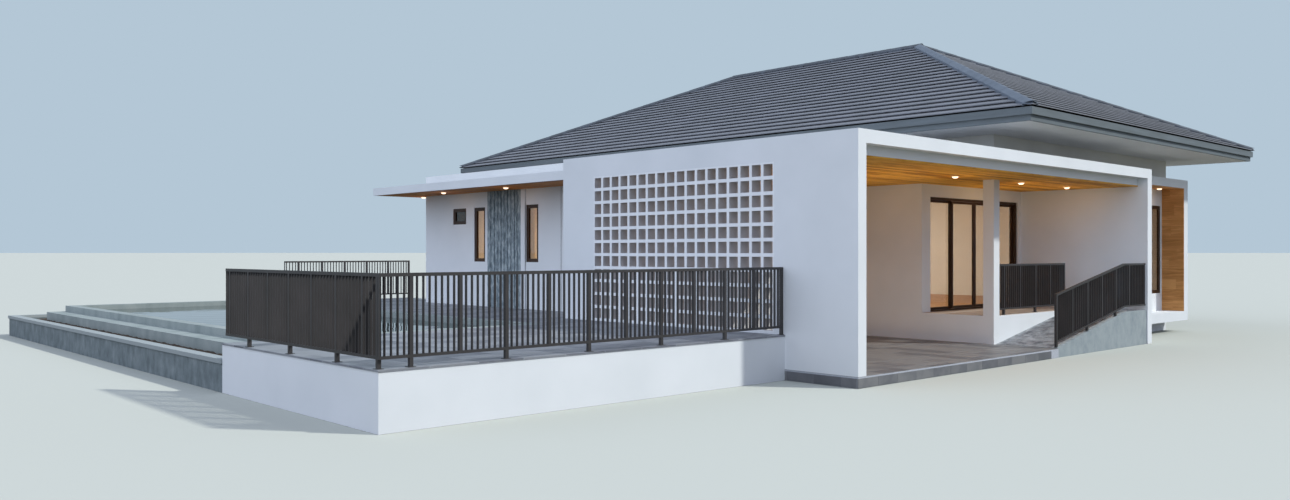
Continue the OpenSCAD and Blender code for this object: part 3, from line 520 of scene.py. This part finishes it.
board_long, head_wide = 2.2, 0.115
head_low, head_high = laid(head_start, head_end, board_long, head_wide, 0.4, flush)
surround_head = rows[-1]
head_low, head_high = spread(*head_low.T, surround_head), spread(*head_high.T, surround_head + 0.02)
all_low = np.vstack([board_low, rest_low, head_low])
all_high = np.vstack([board_high, rest_high, head_high])
points, faces = blocks(all_low, all_high, 0.0015)
tones = random.random(len(all_low))
cheek_boards = piece("cheek_boards", points, faces, "house", cheek_wood, tones)
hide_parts("surround_boards")

# House floor: oiled oak boards over the whole plan, laid from the front to the back on joists. They show
# only through the glass, as a warm light brown.
floor_wood = varnished("oiled_oak_floor", 1, "#9A7350", "#B58C66", "#C8A27C")
dress(floor_wood, "house_floor")

# Cladding: a panel of dark stone-grey concrete cast against rough upright boards, so that every board
# leaves its own depth, its saw marks of 6 cm, drawn out upwards, and a groove at its edge. The grooves
# are also drawn darker in colour, a painted shade in them.
def shell(front, back):
    """Closes the room between two grids of points of the same size: the cells of the front grid, those of
    the back grid turned round, and a strip along each of the four edges."""
    rows, columns = front.shape[:2]
    near = np.arange(rows * columns).reshape(rows, columns)
    far = near + rows * columns
    rim = np.concatenate([near[0, :-1], near[:-1, -1], near[-1, :0:-1], near[:0:-1, 0]])
    after = np.roll(rim, -1)
    cells = [near[:-1, :-1], near[1:, :-1], near[1:, 1:], near[:-1, 1:]]
    turned = [far[:-1, :-1], far[:-1, 1:], far[1:, 1:], far[1:, :-1]]
    quads = [np.stack(part, -1).reshape(-1, 4) for part in (cells, turned)]
    strip = np.stack([rim, after, after + rows * columns, rim + rows * columns], -1)
    return np.concatenate([front, back]).reshape(-1, 3), [*quads, strip]


board_marked, nodes, place = start("board_marked_concrete")
stretch = add(nodes, "ShaderNodeMapping", {"Vector": place, "Scale": (1.0, 1.0, 0.35)})
rough_noise = {"Scale": 17.0, "Detail": 8.0, "Roughness": 0.7}
marks = add(nodes, "ShaderNodeTexNoise", {"Vector": stretch, **rough_noise})
groove = add(nodes, "ShaderNodeAttribute", attribute_name="tone").outputs["Fac"]
# The groove mask darkens the colour there: painted shade.
mixed = add(nodes, "ShaderNodeMath", {0: groove, 1: -0.25, 2: marks}, operation="MULTIPLY_ADD")
shades = [(0.28, "#47545B"), (0.48, "#87949A"), (0.66, "#C0CACC")]
skin = add(nodes, "ShaderNodeValToRGB", {0: mixed}, stops=shades)
close(nodes, marks, 0.010, {"Base Color": skin, "Roughness": 0.85})

panel_start, panel_end, panel_foot, panel_head = 8.926, 10.106, 0.62, 3.02
panel_face, panel_back = 1.165, 1.188
columns, rows = 157, 61
panel_y = np.linspace(panel_start, panel_end, columns)
panel_z = np.linspace(panel_foot, panel_head, rows)
mark_edges = np.array([0.130, 0.215, 0.345, 0.469, 0.585, 0.691, 0.803, 0.930, 1.060])
mark_depth = random.uniform(0.001, 0.006, len(mark_edges) + 1)
mark = np.searchsorted(mark_edges, panel_y - panel_start)
to_edge = np.abs(panel_y[:, None] - panel_start - mark_edges).min(1)
groove_width, groove_depth = 0.010, 0.012
in_groove = np.exp(-((to_edge / groove_width) ** 2))
relief = mark_depth[mark] + groove_depth * in_groove
up, board = panel_z[None, :], mark[:, None]
waves = 0.0015 * np.sin(up * 7 + board * 2.1) * np.sin(up * 19 + board)
depth = relief[:, None] + waves + 0.0008 * random.standard_normal((columns, rows))
inwards = panel_face + np.clip(depth, 0, 0.02)
front = np.stack(np.broadcast_arrays(inwards, panel_y[:, None], up), -1)
back = front.copy()
back[..., 0] = panel_back
points, faces = shell(front, back)
shade = np.tile(np.repeat(in_groove, rows), 2)
cladding = piece("cladding_panel", points, faces, "house", board_marked, shade)
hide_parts("stone_cladding")

# Movement joints: soft dark sealant, gunned into the upright joint of the wing wall and pulled smooth,
# which leaves faint marks 3 cm apart. The second dark strip, beside the panel, is a painted shadow: it
# stands for the shadow line along the edge of the light strip there.
sealant_and_painted_shadow, nodes, place = start("dark_sealant_and_painted_shadow_line")
pull_marks = add(nodes, "ShaderNodeTexNoise", {"Vector": place, "Scale": 30.0})
putty = add(nodes, "ShaderNodeValToRGB", {0: pull_marks}, stops=[(0.3, "#4A5056"), (0.7, "#5C6268")])
close(nodes, pull_marks, 0.001, {"Base Color": putty, "Roughness": 0.7})
seal_face, seal_back = 1.1865, 1.190
points, faces = blocks(
    # The first strip is the joint; the second, at 8.79 m, is painted shadow.
    [[seal_face, 7.645, panel_foot], [seal_face, 8.786, panel_foot]],
    [[seal_back, 7.655, panel_head], [seal_back, 8.791, panel_head]],
    0.0003,
)
piece("movement_joint_and_painted_shadow_line", points, faces, "house", sealant_and_painted_shadow)

# Window and door frames: aluminium profiles, powder coated in a deep satin brown. The fine orange peel
# of the coat, about 2 mm, is drawn at 5 mm.
frame_coat, nodes, place = start("dark_brown_powder_coat")
peel = add(nodes, "ShaderNodeTexNoise", {"Vector": place, "Scale": 220.0, "Detail": 2.0})
wear = add(nodes, "ShaderNodeTexNoise", {"Vector": place, "Scale": 3.0, "Detail": 3.0})
brown = add(nodes, "ShaderNodeValToRGB", {0: wear}, stops=[(0.3, "#38251A"), (0.7, "#422D1F")])
close(nodes, peel, 0.0002, {"Base Color": brown, "Roughness": 0.4, "Specular IOR Level": 0.25})
dress(frame_coat, "door_frame", "left_leaf", "right_leaf", "window_frames")

# Glass: clear float glass with the faint grey-blue of its edge, not quite even over 80 cm. The wing's
# small square window is tinted a dark grey: a painted reflection, standing for the dark garden it mirrors.
glass_with_painted_dark_pane, nodes, place = start("float_glass_with_painted_dark_pane")
roll = add(nodes, "ShaderNodeTexNoise", {"Vector": place, "Scale": 1.2})
square_window = (1.235, 11.21, 2.53)
gap = add(nodes, "ShaderNodeVectorMath", {0: place, 1: square_window}, operation="DISTANCE")
away = gap.outputs["Value"]
# Round the square window the tint turns dark: painted reflection.
edge_tint_and_painted_dark_pane = add(nodes, "ShaderNodeValToRGB", {0: away}, stops=[(0.4, "#3E4648"), (0.42, "#D8E2E6")])
close(
    nodes,
    roll,
    0.0004,
    {"Base Color": edge_tint_and_painted_dark_pane, "Roughness": 0.01, "IOR": 1.5, "Transmission Weight": 1.0},
)
dress(glass_with_painted_dark_pane, "window_panes", "left_leaf_glass", "right_leaf_glass")

# Railings: welded flat bars between square posts, powder coated in a satin brown-black, on small
# plates screwed down to the paving. Dust dulls the coat in patches of 40 cm.
rail_coat, nodes, place = start("brown_black_powder_coat")
peel = add(nodes, "ShaderNodeTexNoise", {"Vector": place, "Scale": 180.0, "Detail": 2.0})
dust = add(nodes, "ShaderNodeTexNoise", {"Vector": place, "Scale": 2.5, "Detail": 4.0})
brown = add(nodes, "ShaderNodeValToRGB", {0: dust}, stops=[(0.3, "#343131"), (0.7, "#3E3A3A")])
close(nodes, peel, 0.0003, {"Base Color": brown, "Roughness": 0.45})
dress(rail_coat, "ramp_railing", "porch_railing", "front_railing", "side_railing", "rear_railing")

post_step, plate_half, plate_thick = 1.1424, 0.04, 0.006
front_posts = spread(-0.02 - post_step * np.arange(6), 1.25, terrace_top)
side_posts = spread(-6.06, [1.29, 2.16, 3.3024, 4.4448], terrace_top)
rear_posts = spread(2.09 - post_step * np.arange(3), 14.94, terrace_top)
porch_posts = spread(8.42 - 1.184 * np.arange(3), 1.18, porch_high[2])
feet = np.vstack([front_posts, side_posts, rear_posts, porch_posts])
plate_low = feet - [plate_half, plate_half, 0.0]
plate_high = feet + [plate_half, plate_half, plate_thick]
points, faces = blocks(plate_low, plate_high, 0.0015)
piece("post_plates", points, faces, "house", rail_coat)

# Planter: a wall of weathered cast concrete, stained in patches of 18 cm, with a paler, smoother
# coping, and dark garden soil, raked into clods of 5 cm, between the wall and the ledge.
weathered, nodes, place = start("weathered_cast_concrete")
stretch = add(nodes, "ShaderNodeMapping", {"Vector": place, "Scale": (1.6, 1.6, 1.1)})
rough_noise = {"Scale": 3.5, "Detail": 8.0, "Roughness": 0.65}
clouds = add(nodes, "ShaderNodeTexNoise", {"Vector": stretch, **rough_noise})
shades = [(0.35, "#636D70"), (0.52, "#768083"), (0.7, "#899294")]
skin = add(nodes, "ShaderNodeValToRGB", {0: clouds}, stops=shades)
coping_foot = 0.365
height = add(nodes, "ShaderNodeSeparateXYZ", {0: place}).outputs["Z"]
is_coping = add(nodes, "ShaderNodeMath", {0: height, 1: coping_foot}, operation="GREATER_THAN")
both = add(nodes, "ShaderNodeMix", {0: is_coping, 6: skin, 7: "#9BA2A2"}, data_type="RGBA")
close(nodes, clouds, 0.003, {"Base Color": both.outputs[2], "Roughness": 0.85})
dress(weathered, "planter_wall")

garden_soil, nodes, place = start("raked_garden_soil")
clods = add(nodes, "ShaderNodeTexNoise", {"Vector": place, "Scale": 18.0, "Detail": 8.0})
earth = add(nodes, "ShaderNodeValToRGB", {0: clods}, stops=[(0.3, "#3B2E24"), (0.7, "#5C4A3A")])
close(nodes, clods, 0.02, {"Base Color": earth, "Roughness": 1.0})


def heap(low, high, step):
    """Lumpy ground over a rectangle: the height is the upper level less a sum of sine waves of about a
    hand's width, closed down to the lower level."""
    x = np.linspace(low[0], high[0], int((high[0] - low[0]) / step) + 2)
    y = np.linspace(low[1], high[1], int((high[1] - low[1]) / step) + 2)
    x, y = np.meshgrid(x, y, indexing="ij")
    lump = np.sin(x * 31 + 3 * np.sin(y * 5)) + np.sin(y * 27 + 2 * np.sin(x * 9)) + np.sin(x * 17 - y * 13)
    top = np.stack([x, y, high[2] - 0.012 + 0.004 * lump], -1)
    bottom = top.copy()
    bottom[..., 2] = low[2]
    return shell(top, bottom)


soil_top, clod_step = 0.35, 0.05
long_points, long_faces = heap((-5.955, basin_low[1], 0.0), (-5.55, 16.99, soil_top), clod_step)
far_points, far_faces = heap((-5.56, 16.50, 0.0), (-1.25, 17.00, soil_top), clod_step)
faces = long_faces + [part + len(long_points) for part in far_faces]
soil = piece("soil", np.vstack([long_points, far_points]), faces, "house", garden_soil)
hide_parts("planter_bed")

# Basin: a tank of cast concrete let into the terrace, clouded in patches of 30 cm, with pores that are
# drawn at 26 mm. Still, dark water fills it to a hand's width below its rim, and mirrors the sky.
cast_concrete, nodes, place = start("cast_concrete")
stretch = add(nodes, "ShaderNodeMapping", {"Vector": place, "Scale": (2.0, 2.0, 1.1)})
clouds = add(nodes, "ShaderNodeTexNoise", {"Vector": stretch, "Scale": 1.6, "Detail": 6.0})
pores = add(nodes, "ShaderNodeTexNoise", {"Vector": place, "Scale": 38.0, "Detail": 5.0})
mixed = add(nodes, "ShaderNodeMath", {0: pores, 1: 0.25, 2: clouds}, operation="MULTIPLY_ADD")
shades = [(0.45, "#87918F"), (0.62, "#929B99"), (0.85, "#9FA6A3")]
skin = add(nodes, "ShaderNodeValToRGB", {0: mixed}, stops=shades)
close(nodes, pores, 0.002, {"Base Color": skin, "Roughness": 0.8})
dress(cast_concrete, "basin")

still_water, nodes, place = start("still_water")
ripple = add(nodes, "ShaderNodeTexNoise", {"Vector": place, "Scale": 2.5, "Detail": 2.0})
depth_tint = add(nodes, "ShaderNodeValToRGB", {0: ripple}, stops=[(0.3, "#2F3B3A"), (0.7, "#3A4846")])
close(nodes, ripple, 0.004, {"Base Color": depth_tint, "Roughness": 0.03, "IOR": 1.333})

water_foot, water_top, swell = 0.2, 0.52, 0.0008
water_x, water_y = np.linspace(-5.0, -1.30, 38), np.linspace(5.39, 16.30, 110)
x, y = np.meshgrid(water_x, water_y, indexing="ij")
top = np.stack([x, y, water_top + swell * np.sin(x * 7 + y * 3) * np.sin(y * 5 - x)], -1)
bottom = top.copy()
bottom[..., 2] = water_foot
points, faces = shell(top, bottom)
water = piece("still_water", points, faces, "house", still_water)
for part in water.data.polygons:
    part.use_smooth = part.normal.z > 0.5

# Eaves: boarded soffit in matt off-white paint, closed by two steps of folded steel sheet that is
# painted a satin blue-grey, with the faint level streaks of a sheet that rain runs off.
soffit_paint, nodes, place = start("matt_soffit_paint")
cloud = add(nodes, "ShaderNodeTexNoise", {"Vector": place, "Scale": 1.1, "Detail": 3.0})
paint = add(nodes, "ShaderNodeValToRGB", {0: cloud}, stops=[(0.3, "#E4E4E6"), (0.7, "#ECECEE")])
close(nodes, cloud, 0.0006, {"Base Color": paint, "Roughness": 0.8})
dress(soffit_paint, "eaves_soffit")

folded_sheet, nodes, place = start("painted_steel_sheet")
stretch = add(nodes, "ShaderNodeMapping", {"Vector": place, "Scale": (0.6, 0.6, 6.0)})
film = add(nodes, "ShaderNodeTexNoise", {"Vector": stretch, "Scale": 2.0, "Detail": 4.0})
grey = add(nodes, "ShaderNodeValToRGB", {0: film}, stops=[(0.3, "#686F72"), (0.7, "#737B80")])
close(nodes, film, 0.0006, {"Base Color": grey, "Roughness": 0.6, "Specular IOR Level": 0.2})
dress(folded_sheet, "eaves_fascia")

# Roof tiles: flat interlocking concrete tiles in a blue-grey slurry coat, nailed to battens, each
# course lapping the one below. The coat has weathered in clouds of 70 cm, and its sand of 1 mm is drawn
# at 8 mm.
def lofts(rings):
    """Skins many pieces at once. rings holds, for each piece, a row of closed outlines: quads join each
    outline to the next, and one face closes the first and the last."""
    count, rows, columns = rings.shape[:3]
    index = np.arange(rows * columns).reshape(rows, columns)
    after = np.roll(index, -1, 1)
    quads = np.stack([index[:-1], after[:-1], after[1:], index[1:]], -1).reshape(-1, 4)
    ends = np.stack([index[0][::-1], index[-1]])
    shift = (rows * columns * np.arange(count))[:, None, None]
    return rings, [(quads + shift).reshape(-1, 4), (ends + shift).reshape(-1, columns)]


(tile_x, tile_y, _), (ridge_x, tile_far, ridge_z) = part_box("roof_slope_left")
tile_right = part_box("roof_slope_right")[1][0]
half_run = ridge_x - tile_x
courses, step, nose, thick, lap = 22, 0.040, 0.020, 0.0195, 0.05
tile_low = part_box("eaves_fascia")[1][2] + step
fall = (ridge_z + step - tile_low) / half_run
course = half_run / courses
tile_end = course + lap
tail = -step * tile_end / course
tile_run = np.array([0.004, 0.0, 0.0, 0.005, tile_end, tile_end, tile_end + 0.01, tile_end + 0.01])
tile_lift = np.array([-nose, 0.004 - nose, -0.004, 0.0, tail, tail + thick, tail + thick, tail - nose])
tile_wide, play, least = 0.33, 0.0002, 0.03


def tiled_slope(length):
    """All tiles of one slope, in run from the eaves, distance along the eaves and height: course i starts
    i courses in, tiles stand side by side, 0.4 mm apart, every second course is half a tile later,
    and an edge goes no further than the hip, which is as far along as it is in. A tile that would be
    cut narrower than 3 cm is left out."""
    columns = np.arange(-1, int(length / tile_wide) + 2)
    row, column = np.meshgrid(np.arange(courses), columns, indexing="ij")
    begin = (column + 0.5 * (row % 2)) * tile_wide + play
    end = begin + tile_wide - 2 * play
    inner = row * course
    kept = (end > inner + least) & (begin < length - inner - least)
    inner, edges = inner[kept], np.stack([begin, end], -1)[kept][:, :, None]
    run = inner[:, None] + tile_run
    hip = np.minimum(run, half_run - 0.002)
    along = np.clip(edges, hip[:, None, :], length - hip[:, None, :])
    height = tile_low + fall * run + tile_lift
    return [np.broadcast_to(part, along.shape) for part in (run[:, None, :], along, height[:, None, :])]


slurry_coat, nodes, place = start("slurry_coated_concrete_tile")
tone = add(nodes, "ShaderNodeAttribute", attribute_name="tone").outputs["Fac"]
weather = add(nodes, "ShaderNodeTexNoise", {"Vector": place, "Scale": 1.4, "Detail": 5.0})
mixed = add(nodes, "ShaderNodeMath", {0: tone, 1: 0.04, 2: weather}, operation="MULTIPLY_ADD")
shades = [(0.4, "#73757B"), (0.6, "#797B82"), (0.85, "#80828A")]
slurry = add(nodes, "ShaderNodeValToRGB", {0: mixed}, stops=shades)
sand = add(nodes, "ShaderNodeTexNoise", {"Vector": place, "Scale": 120.0, "Detail": 3.0})
close(nodes, sand, 0.0008, {"Base Color": slurry, "Roughness": 0.7})

depth_y, depth_x = tile_far - tile_y, tile_right - tile_x
run, along, height = tiled_slope(depth_y)
left = np.stack([tile_x + run, tile_y + along, height], -1)
right = np.stack([tile_right - run, tile_far - along, height], -1)
run, along, height = tiled_slope(depth_x)
front = np.stack([tile_right - along, tile_y + run, height], -1)
rear = np.stack([tile_x + along, tile_far - run, height], -1)
for side, rings in {"left": left, "right": right, "front": front, "rear": rear}.items():
    points, faces = lofts(rings)
    tones = random.random(len(rings))
    tiles = piece(f"tiles_{side}", points, faces, "house", slurry_coat, tones)
    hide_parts(f"roof_slope_{side}")

# Ridge and hip caps: flat-winged cap tiles, bedded over the cut tiles from the eaves upwards, each
# lapping the one below it. Those of the front left hip are a paler grey; the rest are drawn as dark as
# the tiles, a painted shade that stands for how the light falls on them.
cap_coat, nodes, place = start("slurry_coated_cap_tile")
tone = add(nodes, "ShaderNodeAttribute", attribute_name="tone").outputs["Fac"]
weather = add(nodes, "ShaderNodeTexNoise", {"Vector": place, "Scale": 4.0, "Detail": 5.0})
mixed = add(nodes, "ShaderNodeMath", {0: tone, 1: 0.3, 2: weather}, operation="MULTIPLY_ADD")
shades = [(0.1, "#474B53"), (0.4, "#606975"), (0.9, "#6E7783")]
grey = add(nodes, "ShaderNodeValToRGB", {0: mixed}, stops=shades)
sand = add(nodes, "ShaderNodeTexNoise", {"Vector": place, "Scale": 120.0, "Detail": 3.0})
close(nodes, sand, 0.0008, {"Base Color": grey, "Roughness": 0.7})

wing, near_edge = 0.125, 0.122
half = np.array([0.015, 0.04, 0.10, near_edge, wing])
side_out = np.concatenate([-half[::-1], [0.0], half])
cap_side = np.concatenate([side_out, side_out[::-1]])
crest = np.hypot(cap_side, 0.02) - 0.02
top_lift, bottom_lift = [-0.012, *[0.0] * 9, -0.012], [-0.05, *[-0.045] * 9, -0.05]
cap_lift = np.array(top_lift + bottom_lift)
cap_length, overlap, bedding, peak = 0.42, 1.06, 0.012, 0.028


def capped(length, steepness, foot):
    """Caps in a row along a line: distance along, distance to the side and height above the line's own
    plane. The height falls to the sides by the steepness times a rounded distance, and further from a
    low peak in even slopes. Each cap is about 0.42 m long, laps the next by 6 per cent and stands 5 mm
    higher near its lower end. The first starts at the foot, or at the side distance where that is 0."""
    count = int(np.ceil((length - foot) / cap_length))
    start_at = foot + np.linspace(0, length - foot, count, endpoint=False)
    share = np.array([0.0, 0.012, 1.0])
    cuts = share * (length - foot) / count * overlap
    along = start_at[:, None, None] + cuts[:, None]
    nearest = np.where(foot > 0, 0.0, np.abs(cap_side)) + np.array([0.0, 0.004, 0.004])[:, None]
    along = np.maximum(along, nearest)
    lift = cap_lift + bedding + np.array([0.001, 0.005, 0.0])[:, None]
    height = lift + peak * (1 - np.abs(cap_side) / wing) - steepness * crest
    shape = (count, 3, len(cap_side))
    return [np.broadcast_to(part, shape) for part in (along, cap_side, height)]


diagonal = half_run * np.sqrt(2)
along, aside, height = capped(diagonal - 0.02, fall / np.sqrt(2), 0.0)
height = height + tile_low + fall * along / np.sqrt(2)
near, far = (along - aside) / np.sqrt(2), (along + aside) / np.sqrt(2)
hips = [
    np.stack([tile_x + far, tile_y + near, height], -1),
    np.stack([tile_right - near, tile_y + far, height], -1),
    np.stack([tile_right - far, tile_far - near, height], -1),
    np.stack([tile_x + near, tile_far - far, height], -1),
]
beyond = 0.08
along, aside, height = capped(depth_y - 2 * half_run + 2 * beyond, fall, 0.001)
height = height + tile_low + fall * half_run
ridge = np.stack([ridge_x + aside, tile_y + half_run - beyond + along, height], -1)
rings = np.concatenate([*hips, ridge])
rings[..., 2] = np.minimum(rings[..., 2], cad_box[1][2])
points, faces = lofts(rings)
# Every cap after the front left hip gets a dark tone: painted shade.
tones, painted_shade_tone = random.random(len(rings)), -1.3
tones[len(hips[0]) :] = painted_shade_tone
caps = piece("cap_tiles", points, faces, "house", cap_coat, tones)
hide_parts("ridge_and_hip_caps")

# Downlights: small recessed spots with a white pressed rim and a warm frosted lens, one row in each
# ceiling and one in the window surround.
spots = spread(
    [4.45, 6.74, 8.60, 2.20, 4.20, 0.63, 0.62, 1.26, 12.44],
    [1.20, 1.20, 1.20, 3.90, 3.90, 8.68, 10.93, 12.82, 0.90],
    [ceiling_low] * 8 + [surround_head],
)
turn = np.linspace(0, 2 * np.pi, 24, endpoint=False)


def turned(radius, height):
    """Carries a closed profile of radii and heights round an upright axis through each spot."""
    x, y = np.outer(np.cos(turn), radius), np.outer(np.sin(turn), radius)
    ring = np.stack([x, y, np.tile(height, (len(turn), 1))], -1)
    points = spots[:, None, None, :] + ring
    index = np.arange(x.size).reshape(x.shape)
    beside, after = np.roll(index, -1, 0), np.roll(index, -1, 1)
    both = np.roll(beside, -1, 1)
    quads = np.stack([index, beside, both, after], -1).reshape(-1, 4)
    shift = (index.size * np.arange(len(spots)))[:, None, None]
    return points, [(quads + shift).reshape(-1, 4)]


rim_paint, nodes, place = start("white_pressed_rim")
brushed = add(nodes, "ShaderNodeTexNoise", {"Vector": place, "Scale": 40.0})
cream = add(nodes, "ShaderNodeValToRGB", {0: brushed}, stops=[(0.3, "#DDD9D2"), (0.7, "#E6E3DD")])
close(nodes, brushed, 0.0002, {"Base Color": cream, "Roughness": 0.4})
rim = np.array([[0.050, 0.004], [0.050, -0.006], [0.060, -0.009], [0.066, -0.006], [0.066, 0.004]])
points, faces = turned(*rim.T)
piece("downlight_rims", points, faces, "house", rim_paint)

warm_lens, nodes, place = start("warm_frosted_lens")
glow = add(nodes, "ShaderNodeTexNoise", {"Vector": place, "Scale": 20.0})
glowing = {"Emission Color": "#FFDCB8", "Emission Strength": 2.2}
close(nodes, glow, 0.0002, {"Base Color": "#F4E4CC", "Roughness": 0.5, **glowing})
bulge = np.array([[0.012, -0.034], [0.030, -0.031], [0.044, -0.022], [0.050, -0.010], [0.050, 0.003]])
disc = np.stack([np.outer(bulge[:, 0], np.cos(turn)), np.outer(bulge[:, 0], np.sin(turn))], -1)
level = np.broadcast_to(bulge[:, 1:, None], disc.shape[:2] + (1,))
rings = np.concatenate([disc, level], -1)[None] + spots[:, None, None, :]
points, faces = lofts(rings)
piece("downlight_lenses", points, faces, "house", warm_lens)

# Glow: a soft lamp under each downlight, others for the light that the pale paving and the sky throw
# into the roofed places, and one in each lit room behind the glass.
def glow_from(name, kind, spot, power, size, colour, turn=(0.0, 0.0, 0.0)):
    """Adds one soft lamp that lights the house and is itself not seen, mirrored or seen through glass.
    It shines down, and turn gives its angles about the three axes."""
    lamp = bpy.data.objects.new(name, bpy.data.lights.new(name, kind))
    lamp.data.energy = power
    lamp.data.color = colour
    if kind == "AREA":
        lamp.data.size = size
    else:
        lamp.data.shadow_soft_size = size
    lamp.location = spot
    lamp.rotation_euler = turn
    lamp.visible_camera = lamp.visible_glossy = lamp.visible_transmission = False
    scene.collection.objects.link(lamp)


powers = [1.6, 1.6, 1.6, 1.6, 1.6, 0.8, 0.8, 1.6, 0.8]
for number, (spot, power) in enumerate(zip(spots, powers)):
    below = spot - [0.0, 0.0, 0.30]
    glow_from(f"downlight_{number}", "POINT", below, power, 0.10, (1.0, 0.62, 0.32))
upward, rightward = (np.pi, 0.0, 0.0), (0.0, -np.pi / 2, 0.0)
warm, bright = (1.0, 0.72, 0.42), (1.0, 0.74, 0.50)
glow_from("carport_bounce", "AREA", (2.9, 3.0, 0.25), 15.0, 5.0, warm, upward)
glow_from("ceiling_wash", "AREA", (3.0, 1.8, 2.00), 12.0, 2.6, warm, upward)
glow_from("porch_wash", "AREA", (7.6, 1.8, 2.10), 4.5, 1.2, (1.0, 0.72, 0.36), upward)
glow_from("ramp_skylight", "AREA", (8.2, 0.65, 1.60), 2.0, 1.4, (0.33, 0.68, 1.0), rightward)
glow_from("main_room", "AREA", (9.5, 8.5, 3.7), 260.0, 4.0, bright)
glow_from("entry_room", "AREA", (7.4, 4.2, 3.7), 90.0, 2.0, bright)
glow_from("wing_room", "AREA", (3.4, 9.3, 2.95), 110.0, 2.5, (1.0, 0.60, 0.29))
